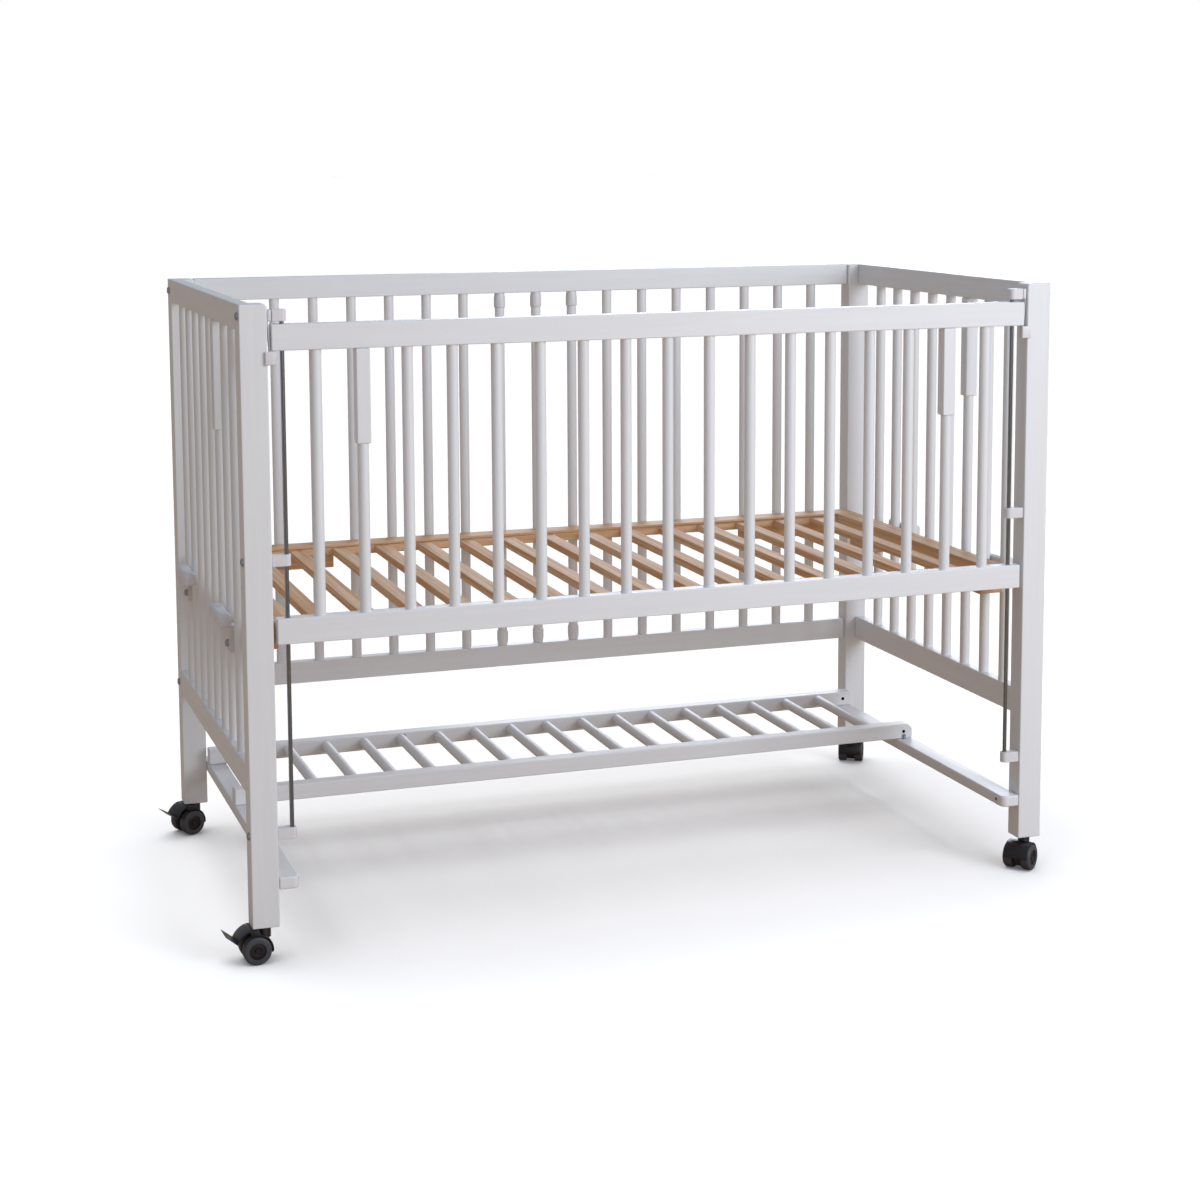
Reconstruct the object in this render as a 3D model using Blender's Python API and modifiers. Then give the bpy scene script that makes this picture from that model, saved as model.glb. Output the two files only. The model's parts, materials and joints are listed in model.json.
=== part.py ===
"""A baby crib with a drop side, built in crib coordinates: X along the crib, left to right, Y from the
front (the drop side) to the back, Z up from the floor. The whole crib hangs on one empty, which places the
origin on the floor under the middle of the overall box."""

import math

import bmesh
import bpy
from mathutils import Matrix, Vector

# Overall sizes, in metres.
CRIB_LENGTH = 1.240
CRIB_WIDTH = 0.660
POST_HEIGHT = 0.868
FIT_GAP = 0.0003  # between pieces that touch
SHARP_ANGLE = 35.0  # degrees: a corner over this stays sharp in the shading

# Corner posts: boards with the wide face to the front.
POST_WIDTH = 0.0385
POST_DEPTH = 0.033
POST_EDGE = 0.0025

# Rails and round bars of the four sides.
RAIL_THICKNESS = 0.020
RAIL_HEIGHT = 0.036
END_LOW_RAIL_HEIGHT = 0.040
LOW_RAIL_Z = 0.187  # underside of the fixed low rails above the posts' feet
RAIL_EDGE = 0.002
BAR_DIAMETER = 0.016
BAR_PITCH = 0.0643
BAR_TENON = 0.012
BAR_SIDES = 10
LONG_BARS = 17
END_BARS = 8
BACK_SETBACK = 0.0065  # back panel's rear face inside the posts' rear faces

# Slip rungs: the middle ones of the back panel lift into a sprung cap under the top rail and come out.
SLIP_RUNGS = 3
SLIP_TRAVEL = 0.009
CAP_DIAMETER = 0.019
CAP_MOUTH_DIAMETER = 0.0164  # where a cap meets the rail
CAP_LENGTH = 0.025
CAP_TAPER = 0.008
CAP_BORE_CLEARANCE = 0.0003
CAP_BORE_DEPTH = 0.0165
CAP_ROOT = 0.003  # how far a cap goes into the rail
SPIGOT_DIAMETER = 0.010
SPIGOT_CLEARANCE = 0.0005
LOW_BORE_DEPTH = 0.008
LOW_SPIGOT = 0.007
RUNG_SHOULDER_GAP = 0.0003
SPRING_DIAMETER = 0.010
SPRING_POCKET = 0.026  # from the cap's mouth to the pocket's end
SPRING_WIRE = 0.0010
SPRING_TURNS = 4
SPRING_POINTS = 6  # points in a turn

# Drop side and what guides it.
DROP_TOP_Z = 0.840
DROP_HEIGHT = 0.441
DROP_END_GAP = 0.0055  # between a rail's end and the post
ROD_DIAMETER = 0.006
ROD_FROM_POST = 0.0215
ROD_HOLE_DIAMETER = 0.008
ROD_SOCKET_CLEARANCE = 0.0003
FITTING_REACH = 0.0275  # how far a rod fitting stands out of the post
FITTING_DEPTH = 0.015
FITTING_HEIGHT = 0.016
FITTING_EDGE = 0.003
TOP_FITTING_Z = 0.852  # middle height of each fitting above the posts' feet
MID_FITTING_Z = 0.5155
LOW_FITTING_Z = 0.131
ROD_SOCKET_DEPTH = 0.009

# Latches: a strip hanging in the gap at each end of the drop side, with a thumb tab in front of the post.
LATCH_HEAD_WIDTH = 0.0060
LATCH_HEAD_GAP = 0.0006
LATCH_STRIP = 0.0016
LATCH_STRIP_DEPTH = 0.010
LATCH_HOLE_DIAMETER = 0.010
LATCH_TAB_WIDTH = 0.0155
LATCH_TAB_HEIGHT = 0.0185
LATCH_TAB_DEPTH = 0.0040
LATCH_TAB_OVER_POST = 0.0045
LATCH_DROP_GAP = 0.0004  # between the latch and the drop side's rail

# Square sleeves round a few bars near the front corners.
SLEEVE_SIDE = 0.0200
SLEEVE_BOTTOM_Z = 0.672
SLEEVE_BORE_CLEARANCE = 0.0003
DROP_SLEEVE_BAR = 1  # second bar from each end
END_SLEEVE_BAR = 2  # third bar from the front

# Slatted bed base and the clamps that hold it on the end bars.
BASE_TOP_Z = 0.426
BASE_FRONT_GAP = 0.004  # behind the drop side
BASE_BACK_GAP = 0.0035  # in front of the back panel
BASE_POST_GAP = 0.0025
BASE_RAIL_HEIGHT = 0.018
BASE_RAIL_WIDTH = 0.040
BASE_END_RAIL_WIDTH = 0.034
BASE_EDGE = 0.0015
SLATS = 15
SLAT_PITCH = 0.072
SLAT_WIDTH = 0.024
SLAT_THICKNESS = 0.012
SLAT_BELOW_TOP = 0.005
SLAT_TENON = 0.010
CLEAT_LENGTH = 0.210
CLEAT_WIDTH = 0.036
FRONT_CLEAT_THICKNESS = 0.012
BACK_CLEAT_THICKNESS = 0.020
CLEAT_BITE = 0.001
JAW_LENGTH = 0.090
JAW_THICKNESS = 0.018
JAW_HEIGHT = 0.020
JAW_BELOW_TOP = 0.005  # from the base's top down to the jaw's
JAW_EDGE = 0.003
LUG_WIDTH = 0.020
LUG_DEPTH = 0.016
LUG_DROP = 0.036  # how far the lug hangs below the jaw
LUG_STANDS_OUT = 0.0035  # outside the bars
CLAMP_BOLT_RISE = 0.012  # above the lug's lower end
CLAMP_BOLT_DIAMETER = 0.006
CLAMP_HEAD_DIAMETER = 0.011
CLAMP_HEAD_HEIGHT = 0.004
CLAMP_BOLT_BITE = 0.026  # how far the bolt runs into the inner block
BLOCK_REACH = 0.062  # of the inner block, from the end panel's outer face
BLOCK_LENGTH = 0.085
BLOCK_HEIGHT = 0.039
BLOCK_BELOW_BOLT = 0.005  # from the clamp bolt's middle down to the block's lower face
BLOCK_FROM_BOLT = 0.042  # how far the block reaches past the bolt towards the post

# Stretchers and the shelf that rests on them.
STRETCHER_Z = 0.0525
STRETCHER_WIDTH = 0.029
STRETCHER_THICKNESS = 0.0175
STRETCHER_EDGE = 0.003
SHELF_RAIL_WIDTH = 0.0245
SHELF_RAIL_HEIGHT = 0.0245
SHELF_FRONT_Y = 0.030  # front face of the front rail behind the crib's middle
SHELF_POST_GAP = 0.0010

# Joint bolts through the posts.
BOLT_DIAMETER = 0.006
BOLT_HOLE_CLEARANCE = 0.0003
BOLT_HEAD_DIAMETER = 0.011
BOLT_HEAD_HEIGHT = 0.003
HEAD_RIM_SHARE = 0.4  # of a bolt head's height, for the straight rim below its slope
BOLT_SIDES = 10
FITTING_BOLT_BITE = 0.010
RAIL_BOLT_BITE = 0.030

# Casters.
CASTER_HEIGHT = 0.050  # the posts' feet above the floor
WHEEL_DIAMETER = 0.040
WHEEL_WIDTH = 0.015
WHEEL_EDGE = 0.003
HUB_DIAMETER = 0.024
HUB_RECESS = 0.0012
AXLE_DIAMETER = 0.006
AXLE_CLEARANCE = 0.0004
WEB_THICKNESS = 0.012
WEB_DIAMETER = 0.034
WEB_CORNERS = (225.0, 270.0, 315.0)  # of the web's lower outline, in degrees about the axle
WEB_SIDE_GAP = 0.0010
CASTER_TRAIL = 0.014
HOOD_GAP = 0.0012
HOOD_WALL = 0.0020
HOOD_WIDTH = 0.038
HOOD_START = -5.0  # degrees about the axle, from the side away from the trail
HOOD_END = 178.0
BRAKED_HOOD_END = 78.0
LEDGE_TOP = (84.0, 96.0)  # the braked hood's raised shoulder, in degrees about the axle
LEDGE_END = 107.5
NECK_DIAMETER = 0.018
NECK_GAP = 0.0004
NECK_LENGTH = 0.016  # from the post's foot down into the housing
STEM_DIAMETER = 0.008
STEM_LENGTH = 0.028
STEM_HOLE_CLEARANCE = 0.0003
LEVER_START = 109.0
LEVER_END = 155.0
LEVER_GAP = 0.0090
LEVER_WALL = 0.0022
LEVER_WIDTH = 0.034
LEVER_TIP = 0.020
LEVER_TIP_RISE = 38.0
TOE_BEND = 4.0  # degrees that the lever's inner face runs on before it turns up
# Which way each caster trails, in degrees about Z from +X, and whether it has a brake.
CASTERS = {
    "front_left": (-1, -1, 182.0, True),
    "front_right": (1, -1, 218.0, False),
    "back_left": (-1, 1, 202.0, True),
    "back_right": (1, 1, 60.0, False),
}

# Shares of a full turn used for round pieces.
WHEEL_STEPS = 20
ARC_STEPS = 14
MERGE = 0.0001

# What follows from the sizes above.
HALF_LENGTH = CRIB_LENGTH / 2
HALF_WIDTH = CRIB_WIDTH / 2
POST_IN_X = HALF_LENGTH - POST_WIDTH  # the posts' inner faces
POST_IN_Y = HALF_WIDTH - POST_DEPTH
FOOT_Z = CASTER_HEIGHT
TOP_Z = FOOT_Z + POST_HEIGHT
FRONT_RAIL_Y = -HALF_WIDTH + RAIL_THICKNESS / 2
BACK_RAIL_Y = HALF_WIDTH - BACK_SETBACK - RAIL_THICKNESS / 2
END_RAIL_X = HALF_LENGTH - RAIL_THICKNESS / 2
ROD_X = POST_IN_X - ROD_FROM_POST
WHEEL_RADIUS = WHEEL_DIAMETER / 2
# The overall box reaches from the front left brake lever's toe to the back right caster's housing.
LEVER_REACH = (WHEEL_RADIUS + LEVER_GAP + LEVER_WALL) * -math.cos(math.radians(LEVER_END))
TOE_REACH = LEVER_TIP * math.cos(math.radians(LEVER_TIP_RISE))
LEFT_OVERHANG = CASTER_TRAIL + LEVER_REACH + TOE_REACH - POST_WIDTH / 2
RIGHT_TRAIL = math.radians(CASTERS["back_right"][2])
HOUSING_REACH = (CASTER_TRAIL + WHEEL_RADIUS + HOOD_GAP + HOOD_WALL) * math.cos(RIGHT_TRAIL)
RIGHT_OVERHANG = HOUSING_REACH + HOOD_WIDTH / 2 * math.sin(RIGHT_TRAIL) - POST_WIDTH / 2
ORIGIN_SHIFT_X = (LEFT_OVERHANG - RIGHT_OVERHANG) / 2
SIDES = {"left": -1, "right": 1}


def clear_scene():
    for obj in list(bpy.data.objects):
        bpy.data.objects.remove(obj, do_unlink=True)


def make_collection(name):
    collection = bpy.data.collections.new(name)
    bpy.context.scene.collection.children.link(collection)
    return collection


def make_material(name, colour, roughness, metallic):
    material = bpy.data.materials.new(name)
    material.use_nodes = True
    shader = material.node_tree.nodes["Principled BSDF"]
    shader.inputs["Base Color"].default_value = (*colour, 1.0)
    shader.inputs["Roughness"].default_value = roughness
    shader.inputs["Metallic"].default_value = metallic
    return material


clear_scene()
PARTS = make_collection("baby_crib")
CUTTERS = make_collection("crib_cutters")
CRIB = bpy.data.objects.new("crib_frame", None)
CRIB.location = (ORIGIN_SHIFT_X, 0, 0)
PARTS.objects.link(CRIB)
WHITE_LACQUER = make_material("white_lacquered_beech", (0.78, 0.78, 0.79), 0.38, 0.0)
PINE = make_material("bare_pine", (0.62, 0.45, 0.29), 0.62, 0.0)
ZINC_STEEL = make_material("zinc_plated_steel", (0.55, 0.57, 0.60), 0.28, 1.0)
WHITE_PLASTIC = make_material("white_nylon", (0.80, 0.80, 0.81), 0.42, 0.0)
BLACK_PLASTIC = make_material("black_nylon", (0.012, 0.012, 0.014), 0.34, 0.0)
WHEEL_PLASTIC = make_material("dark_grey_wheel_plastic", (0.045, 0.045, 0.05), 0.55, 0.0)


def place(name, mesh, material, location=(0, 0, 0), turn=0.0, parent=None):
    """A named part with its origin at location, turned about Z, hung on the crib's empty."""
    obj = bpy.data.objects.new(name, mesh)
    mesh.materials.clear()
    mesh.materials.append(material)
    PARTS.objects.link(obj)
    obj.parent = parent or CRIB
    obj.location = location
    obj.rotation_euler = (0, 0, turn)
    return obj


def helper(name, mesh, location=(0, 0, 0), turn=0.0, parent=None):
    """A hidden solid that a Boolean joins or cuts with."""
    obj = bpy.data.objects.new(name, mesh)
    CUTTERS.objects.link(obj)
    obj.hide_render = True
    obj.display_type = "WIRE"
    obj.parent = parent or CRIB
    obj.location = location
    obj.rotation_euler = (0, 0, turn)
    return obj


def boolean(obj, other, operation):
    modifier = obj.modifiers.new(operation.lower() + "_" + other.name, "BOOLEAN")
    modifier.operation = operation
    modifier.solver = "EXACT"
    modifier.object = other


def bevel(obj, width, segments=1):
    modifier = obj.modifiers.new("edges", "BEVEL")
    modifier.width = width
    modifier.segments = segments
    modifier.limit_method = "ANGLE"


def mesh_from(name, build):
    """A mesh made by a function that fills a bmesh."""
    made = bmesh.new()
    build(made)
    mesh = bpy.data.meshes.new(name)
    made.to_mesh(mesh)
    made.free()
    return mesh


def add_box(made, low, high):
    """A box between two corners."""
    low, high = Vector(low), Vector(high)
    size = high - low
    matrix = Matrix.Translation((low + high) / 2) @ Matrix.Diagonal((*size, 1))
    bmesh.ops.create_cube(made, size=1, matrix=matrix)


def add_rod(made, start, end, radius, sides=BAR_SIDES):
    """A round bar between two points."""
    start, end = Vector(start), Vector(end)
    along = end - start
    turn = along.to_track_quat("Z", "Y").to_matrix().to_4x4()
    bmesh.ops.create_cone(
        made,
        cap_ends=True,
        segments=sides,
        radius1=radius,
        radius2=radius,
        depth=along.length,
        matrix=Matrix.Translation((start + end) / 2) @ turn,
    )


def box_mesh(name, *boxes):
    def build(made):
        for low, high in boxes:
            add_box(made, low, high)

    return mesh_from(name, build)


def rods_mesh(name, rods, radius, sides=BAR_SIDES):
    def build(made):
        for start, end in rods:
            add_rod(made, start, end, radius, sides)

    return mesh_from(name, build)


def turned(name, profile, steps):
    """A mesh of a profile of (radius, height) points turned about Z, listed from top to bottom."""
    mesh = bpy.data.meshes.new(name)
    points = [(radius, 0, height) for radius, height in profile]
    mesh.from_pydata(points, [(i, i + 1) for i in range(len(points) - 1)], [])
    obj = bpy.data.objects.new(name, mesh)
    CUTTERS.objects.link(obj)
    screw = obj.modifiers.new("turn", "SCREW")
    screw.steps = screw.render_steps = steps
    screw.use_merge_vertices = True
    screw.merge_threshold = MERGE
    screw.use_normal_calculate = True
    solid = bpy.data.meshes.new_from_object(obj.evaluated_get(bpy.context.evaluated_depsgraph_get()))
    solid.name = name
    bpy.data.objects.remove(obj, do_unlink=True)
    return solid


def extruded(name, outline, width):
    """A flat outline of (x, z) points, extruded along Y to both sides of the XZ plane."""
    curve = bpy.data.curves.new(name, "CURVE")
    curve.dimensions = "2D"
    curve.fill_mode = "BOTH"
    curve.extrude = width / 2
    spline = curve.splines.new("POLY")
    spline.points.add(len(outline) - 1)
    for point, (x, z) in zip(spline.points, outline):
        point.co = (x, z, 0, 1)
    spline.use_cyclic_u = True
    obj = bpy.data.objects.new(name, curve)
    CUTTERS.objects.link(obj)
    solid = bpy.data.meshes.new_from_object(obj.evaluated_get(bpy.context.evaluated_depsgraph_get()))
    bpy.data.objects.remove(obj, do_unlink=True)
    solid.transform(Matrix.Rotation(math.pi / 2, 4, "X"))

    def weld(made):
        made.from_mesh(solid)
        bmesh.ops.remove_doubles(made, verts=made.verts, dist=MERGE / 10)
        bmesh.ops.recalc_face_normals(made, faces=made.faces)

    return mesh_from(name, weld)


def smooth(obj):
    """Smooth shading on a round piece, with its corners kept sharp."""
    obj.data.shade_smooth()
    obj.data.set_sharp_from_angle(angle=math.radians(SHARP_ANGLE))


def centred(count, pitch):
    """Places of a row of like pieces about the middle."""
    return [(i - (count - 1) / 2) * pitch for i in range(count)]


def bar_row(count):
    return centred(count, BAR_PITCH)


# Frame.


def build_posts():
    """Four posts, with a hole for the caster's stem in the foot and holes for the bolts across it."""
    stem_hole = STEM_DIAMETER / 2 + STEM_HOLE_CLEARANCE
    bolt_hole = BOLT_DIAMETER / 2 + BOLT_HOLE_CLEARANCE
    low_rail_middle = LOW_RAIL_Z + RAIL_HEIGHT / 2
    for name, (side_x, side_y, _, _) in CASTERS.items():
        x = side_x * (HALF_LENGTH - POST_WIDTH / 2)
        y = side_y * (HALF_WIDTH - POST_DEPTH / 2)
        half = Vector((POST_WIDTH / 2, POST_DEPTH / 2, 0))
        low = Vector((x, y, FOOT_Z)) - half
        high = Vector((x, y, TOP_Z)) + half
        post = place("post_" + name, box_mesh("post_" + name, (low, high)), WHITE_LACQUER)
        bevel(post, POST_EDGE)
        if side_y < 0:
            bolt_y = FRONT_RAIL_Y
            heights = (TOP_FITTING_Z, MID_FITTING_Z, LOW_FITTING_Z)
        else:
            bolt_y = BACK_RAIL_Y
            heights = (POST_HEIGHT - RAIL_HEIGHT / 2, low_rail_middle)
        across = POST_WIDTH
        rods = [
            ((x - across, bolt_y, FOOT_Z + z), (x + across, bolt_y, FOOT_Z + z)) for z in heights
        ]
        holes = helper("bolt_holes_" + name, rods_mesh("bolt_holes", rods, bolt_hole))
        boolean(post, holes, "DIFFERENCE")
        stem = ((x, y, 0), (x, y, FOOT_Z + STEM_LENGTH + FIT_GAP))
        socket = helper("stem_hole_" + name, rods_mesh("stem_hole", [stem], stem_hole))
        boolean(post, socket, "DIFFERENCE")


def build_end_panels():
    """Two end panels between the posts, flush with their outer faces, each with a row of bars."""
    inner = POST_IN_Y - FIT_GAP
    top_low = TOP_Z - RAIL_HEIGHT
    low_low = FOOT_Z + LOW_RAIL_Z
    low_top = low_low + END_LOW_RAIL_HEIGHT
    half = RAIL_THICKNESS / 2
    for side, sign in SIDES.items():
        x = sign * END_RAIL_X
        mesh = box_mesh(
            "end_panel_" + side,
            ((x - half, -inner, top_low), (x + half, inner, TOP_Z)),
            ((x - half, -inner, low_low), (x + half, inner, low_top)),
        )
        panel = place("end_panel_" + side, mesh, WHITE_LACQUER)
        bevel(panel, RAIL_EDGE)
        rods = [
            ((x, y, low_top - BAR_TENON), (x, y, top_low + BAR_TENON)) for y in bar_row(END_BARS)
        ]
        bars = helper("end_bars_" + side, rods_mesh("end_bars", rods, BAR_DIAMETER / 2))
        boolean(panel, bars, "UNION")


def slip_places():
    """Where the slip rungs stand along the back panel."""
    first = (LONG_BARS - SLIP_RUNGS) // 2
    return bar_row(LONG_BARS)[first : first + SLIP_RUNGS]


def build_back_panel():
    """The back panel between the back posts, bored for the slip rungs and for the bolts in its ends."""
    inner = POST_IN_X - FIT_GAP
    half = RAIL_THICKNESS / 2
    top_low = TOP_Z - RAIL_HEIGHT
    low_low = FOOT_Z + LOW_RAIL_Z
    low_top = low_low + RAIL_HEIGHT
    mesh = box_mesh(
        "back_panel",
        ((-inner, BACK_RAIL_Y - half, top_low), (inner, BACK_RAIL_Y + half, TOP_Z)),
        ((-inner, BACK_RAIL_Y - half, low_low), (inner, BACK_RAIL_Y + half, low_top)),
    )
    panel = place("back_panel", mesh, WHITE_LACQUER)
    bevel(panel, RAIL_EDGE)
    slips = slip_places()
    rods = [
        ((x, BACK_RAIL_Y, low_top - BAR_TENON), (x, BACK_RAIL_Y, top_low + BAR_TENON))
        for x in bar_row(LONG_BARS)
        if x not in slips
    ]
    boolean(panel, helper("back_bars", rods_mesh("back_bars", rods, BAR_DIAMETER / 2)), "UNION")
    mouth = top_low - CAP_LENGTH
    for number, x in enumerate(slips, start=1):
        cap_mesh = turned("slip_cap", cap_profile(), 2 * BAR_SIDES)
        cap = helper(f"slip_cap_{number}", cap_mesh, (x, BACK_RAIL_Y, mouth))
        boolean(panel, cap, "UNION")
    cap_bore = BAR_DIAMETER / 2 + CAP_BORE_CLEARANCE
    pocket = SPRING_DIAMETER / 2 + SPIGOT_CLEARANCE
    spigot_bore = SPIGOT_DIAMETER / 2 + SPIGOT_CLEARANCE
    for name, low, high, radius in (
        ("cap_bores", mouth - BAR_TENON, mouth + CAP_BORE_DEPTH, cap_bore),
        ("spring_pockets", mouth, mouth + SPRING_POCKET, pocket),
        ("spigot_bores", low_top - LOW_BORE_DEPTH, low_top + BAR_TENON, spigot_bore),
    ):
        bores = [((x, BACK_RAIL_Y, low), (x, BACK_RAIL_Y, high)) for x in slips]
        boolean(panel, helper(name, rods_mesh(name, bores, radius, 2 * BAR_SIDES)), "DIFFERENCE")
    holes = []
    for sign in SIDES.values():
        for z in (TOP_Z - RAIL_HEIGHT / 2, low_low + RAIL_HEIGHT / 2):
            bottom = inner - RAIL_BOLT_BITE - FIT_GAP
            holes.append(
                ((sign * bottom, BACK_RAIL_Y, z), (sign * HALF_LENGTH, BACK_RAIL_Y, z))
            )
    hole_radius = BOLT_DIAMETER / 2 + BOLT_HOLE_CLEARANCE
    boolean(panel, helper("rail_bores", rods_mesh("rail_bores", holes, hole_radius)), "DIFFERENCE")


def cap_profile():
    """Half the outline of a slip rung's top cap, from its root in the rail down to its mouth."""
    narrow = CAP_MOUTH_DIAMETER / 2
    wide = CAP_DIAMETER / 2
    return [
        (0, CAP_LENGTH + CAP_ROOT),
        (narrow, CAP_LENGTH + CAP_ROOT),
        (narrow, CAP_LENGTH),
        (wide, CAP_LENGTH - CAP_TAPER),
        (wide, 0),
        (0, 0),
    ]


def slip_profile(length):
    """Half the outline of a slip rung, from its top down: plain end, rung, lower cap, spigot."""
    rung = BAR_DIAMETER / 2
    narrow = CAP_MOUTH_DIAMETER / 2
    wide = CAP_DIAMETER / 2
    spigot = SPIGOT_DIAMETER / 2
    return [
        (0, length),
        (rung, length),
        (rung, CAP_LENGTH),
        (wide, CAP_LENGTH),
        (wide, CAP_TAPER),
        (narrow, 0),
        (spigot, 0),
        (spigot, -LOW_SPIGOT),
        (0, -LOW_SPIGOT),
    ]


def spring_mesh(name, length):
    """A coil spring standing on z = 0."""
    curve = bpy.data.curves.new(name, "CURVE")
    curve.dimensions = "3D"
    curve.bevel_depth = SPRING_WIRE / 2
    curve.bevel_resolution = 0
    curve.use_fill_caps = True
    spline = curve.splines.new("POLY")
    count = SPRING_TURNS * SPRING_POINTS
    spline.points.add(count)
    radius = SPRING_DIAMETER / 2 - SPRING_WIRE / 2
    for i, point in enumerate(spline.points):
        angle = 2 * math.pi * i / SPRING_POINTS
        rise = SPRING_WIRE / 2 + (length - SPRING_WIRE) * i / count
        point.co = (radius * math.cos(angle), radius * math.sin(angle), rise, 1)
    obj = bpy.data.objects.new(name, curve)
    CUTTERS.objects.link(obj)
    solid = bpy.data.meshes.new_from_object(obj.evaluated_get(bpy.context.evaluated_depsgraph_get()))
    bpy.data.objects.remove(obj, do_unlink=True)

    def weld(made):
        made.from_mesh(solid)
        bmesh.ops.remove_doubles(made, verts=made.verts, dist=MERGE / 10)

    return mesh_from(name, weld)


def build_slip_rungs():
    """Three rungs standing in the low rail's bores, each with a spring above it in its cap."""
    mouth = TOP_Z - RAIL_HEIGHT - CAP_LENGTH
    foot = FOOT_Z + LOW_RAIL_Z + RAIL_HEIGHT + RUNG_SHOULDER_GAP
    # The rung's top stands below the end of the cap's bore by its travel.
    top = mouth + CAP_BORE_DEPTH - SLIP_TRAVEL - FIT_GAP
    spring_length = mouth + SPRING_POCKET - top - 2 * FIT_GAP
    for number, x in enumerate(slip_places(), start=1):
        name = f"slip_rung_{number}"
        mesh = turned(name, slip_profile(top - foot), BAR_SIDES)
        smooth(place(name, mesh, WHITE_LACQUER, (x, BACK_RAIL_Y, foot)))
        coil = spring_mesh(f"slip_spring_{number}", spring_length)
        start = (x, BACK_RAIL_Y, top + FIT_GAP)
        smooth(place(f"slip_spring_{number}", coil, ZINC_STEEL, start))


def bolt_mesh(name, length, head_radius, head_height, radius):
    """A bolt along +Z: its head below z = 0, its shank above."""
    rim = head_height * HEAD_RIM_SHARE
    profile = [
        (0, length),
        (radius, length),
        (radius, 0),
        (head_radius, 0),
        (head_radius, -rim),
        (head_radius - rim, -head_height),
        (0, -head_height),
    ]
    return turned(name, profile, BOLT_SIDES)


def place_bolt(name, mesh, head_at, inward):
    """A bolt whose head bears at head_at, with its shank running along inward, +X or -X."""
    bolt = place(name, mesh, ZINC_STEEL, head_at)
    bolt.rotation_euler = (0, inward * math.pi / 2, 0)
    smooth(bolt)
    return bolt


def build_joint_bolts():
    """Bolts through the posts: three hold the rod fittings, two hold each end of the back panel."""
    radius = BOLT_DIAMETER / 2
    head = BOLT_HEAD_DIAMETER / 2
    face = HALF_LENGTH + FIT_GAP
    fitting_length = POST_WIDTH + FITTING_BOLT_BITE
    rail_length = POST_WIDTH + RAIL_BOLT_BITE
    low_rail_z = FOOT_Z + LOW_RAIL_Z + RAIL_HEIGHT / 2
    for side, sign in SIDES.items():
        for level, z in (("top", TOP_FITTING_Z), ("middle", MID_FITTING_Z), ("low", LOW_FITTING_Z)):
            name = f"fitting_bolt_{level}_{side}"
            mesh = bolt_mesh(name, fitting_length, head, BOLT_HEAD_HEIGHT, radius)
            place_bolt(name, mesh, (sign * face, FRONT_RAIL_Y, FOOT_Z + z), -sign)
        for level, z in (("top", TOP_Z - RAIL_HEIGHT / 2), ("low", low_rail_z)):
            name = f"back_bolt_{level}_{side}"
            mesh = bolt_mesh(name, rail_length, head, BOLT_HEAD_HEIGHT, radius)
            place_bolt(name, mesh, (sign * face, BACK_RAIL_Y, z), -sign)


# Drop side.


def build_drop_side():
    """The sliding front: two rails bored for the guide rods, and a row of bars."""
    inner = POST_IN_X - DROP_END_GAP
    half = RAIL_THICKNESS / 2
    top = FOOT_Z + DROP_TOP_Z
    bottom = top - DROP_HEIGHT
    boxes = [
        ((-inner, FRONT_RAIL_Y - half, top - RAIL_HEIGHT), (inner, FRONT_RAIL_Y + half, top)),
        ((-inner, FRONT_RAIL_Y - half, bottom), (inner, FRONT_RAIL_Y + half, bottom + RAIL_HEIGHT)),
    ]
    side = place("drop_side", box_mesh("drop_side", *boxes), WHITE_LACQUER)
    bevel(side, RAIL_EDGE)
    low_end = bottom + RAIL_HEIGHT - BAR_TENON
    high_end = top - RAIL_HEIGHT + BAR_TENON
    rods = [((x, FRONT_RAIL_Y, low_end), (x, FRONT_RAIL_Y, high_end)) for x in bar_row(LONG_BARS)]
    boolean(side, helper("drop_bars", rods_mesh("drop_bars", rods, BAR_DIAMETER / 2)), "UNION")
    holes = [
        ((sign * ROD_X, FRONT_RAIL_Y, bottom - RAIL_HEIGHT), (sign * ROD_X, FRONT_RAIL_Y, TOP_Z))
        for sign in SIDES.values()
    ]
    cut = helper("rod_holes", rods_mesh("rod_holes", holes, ROD_HOLE_DIAMETER / 2))
    boolean(side, cut, "DIFFERENCE")


def sleeve_mesh(name, x, y, low, high):
    half = SLEEVE_SIDE / 2
    return box_mesh(name, ((x - half, y - half, low), (x + half, y + half, high)))


def build_sleeves():
    """Square sleeves glued round a bar: one near each end of the drop side, one on each end panel."""
    low = FOOT_Z + SLEEVE_BOTTOM_Z
    radius = BAR_DIAMETER / 2 + SLEEVE_BORE_CLEARANCE
    for side, sign in SIDES.items():
        places = (
            ("drop", sign * bar_row(LONG_BARS)[-1 - DROP_SLEEVE_BAR], FRONT_RAIL_Y, DROP_TOP_Z),
            ("end", sign * END_RAIL_X, bar_row(END_BARS)[END_SLEEVE_BAR], POST_HEIGHT),
        )
        for kind, x, y, rail_top in places:
            name = f"{kind}_sleeve_{side}"
            high = FOOT_Z + rail_top - RAIL_HEIGHT - FIT_GAP
            sleeve = place(name, sleeve_mesh(name, x, y, low, high), WHITE_LACQUER)
            bevel(sleeve, RAIL_EDGE)
            bore = [((x, y, low - RAIL_HEIGHT), (x, y, high + RAIL_HEIGHT))]
            cut = helper(name + "_bore", rods_mesh(name + "_bore", bore, radius))
            boolean(sleeve, cut, "DIFFERENCE")


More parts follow.
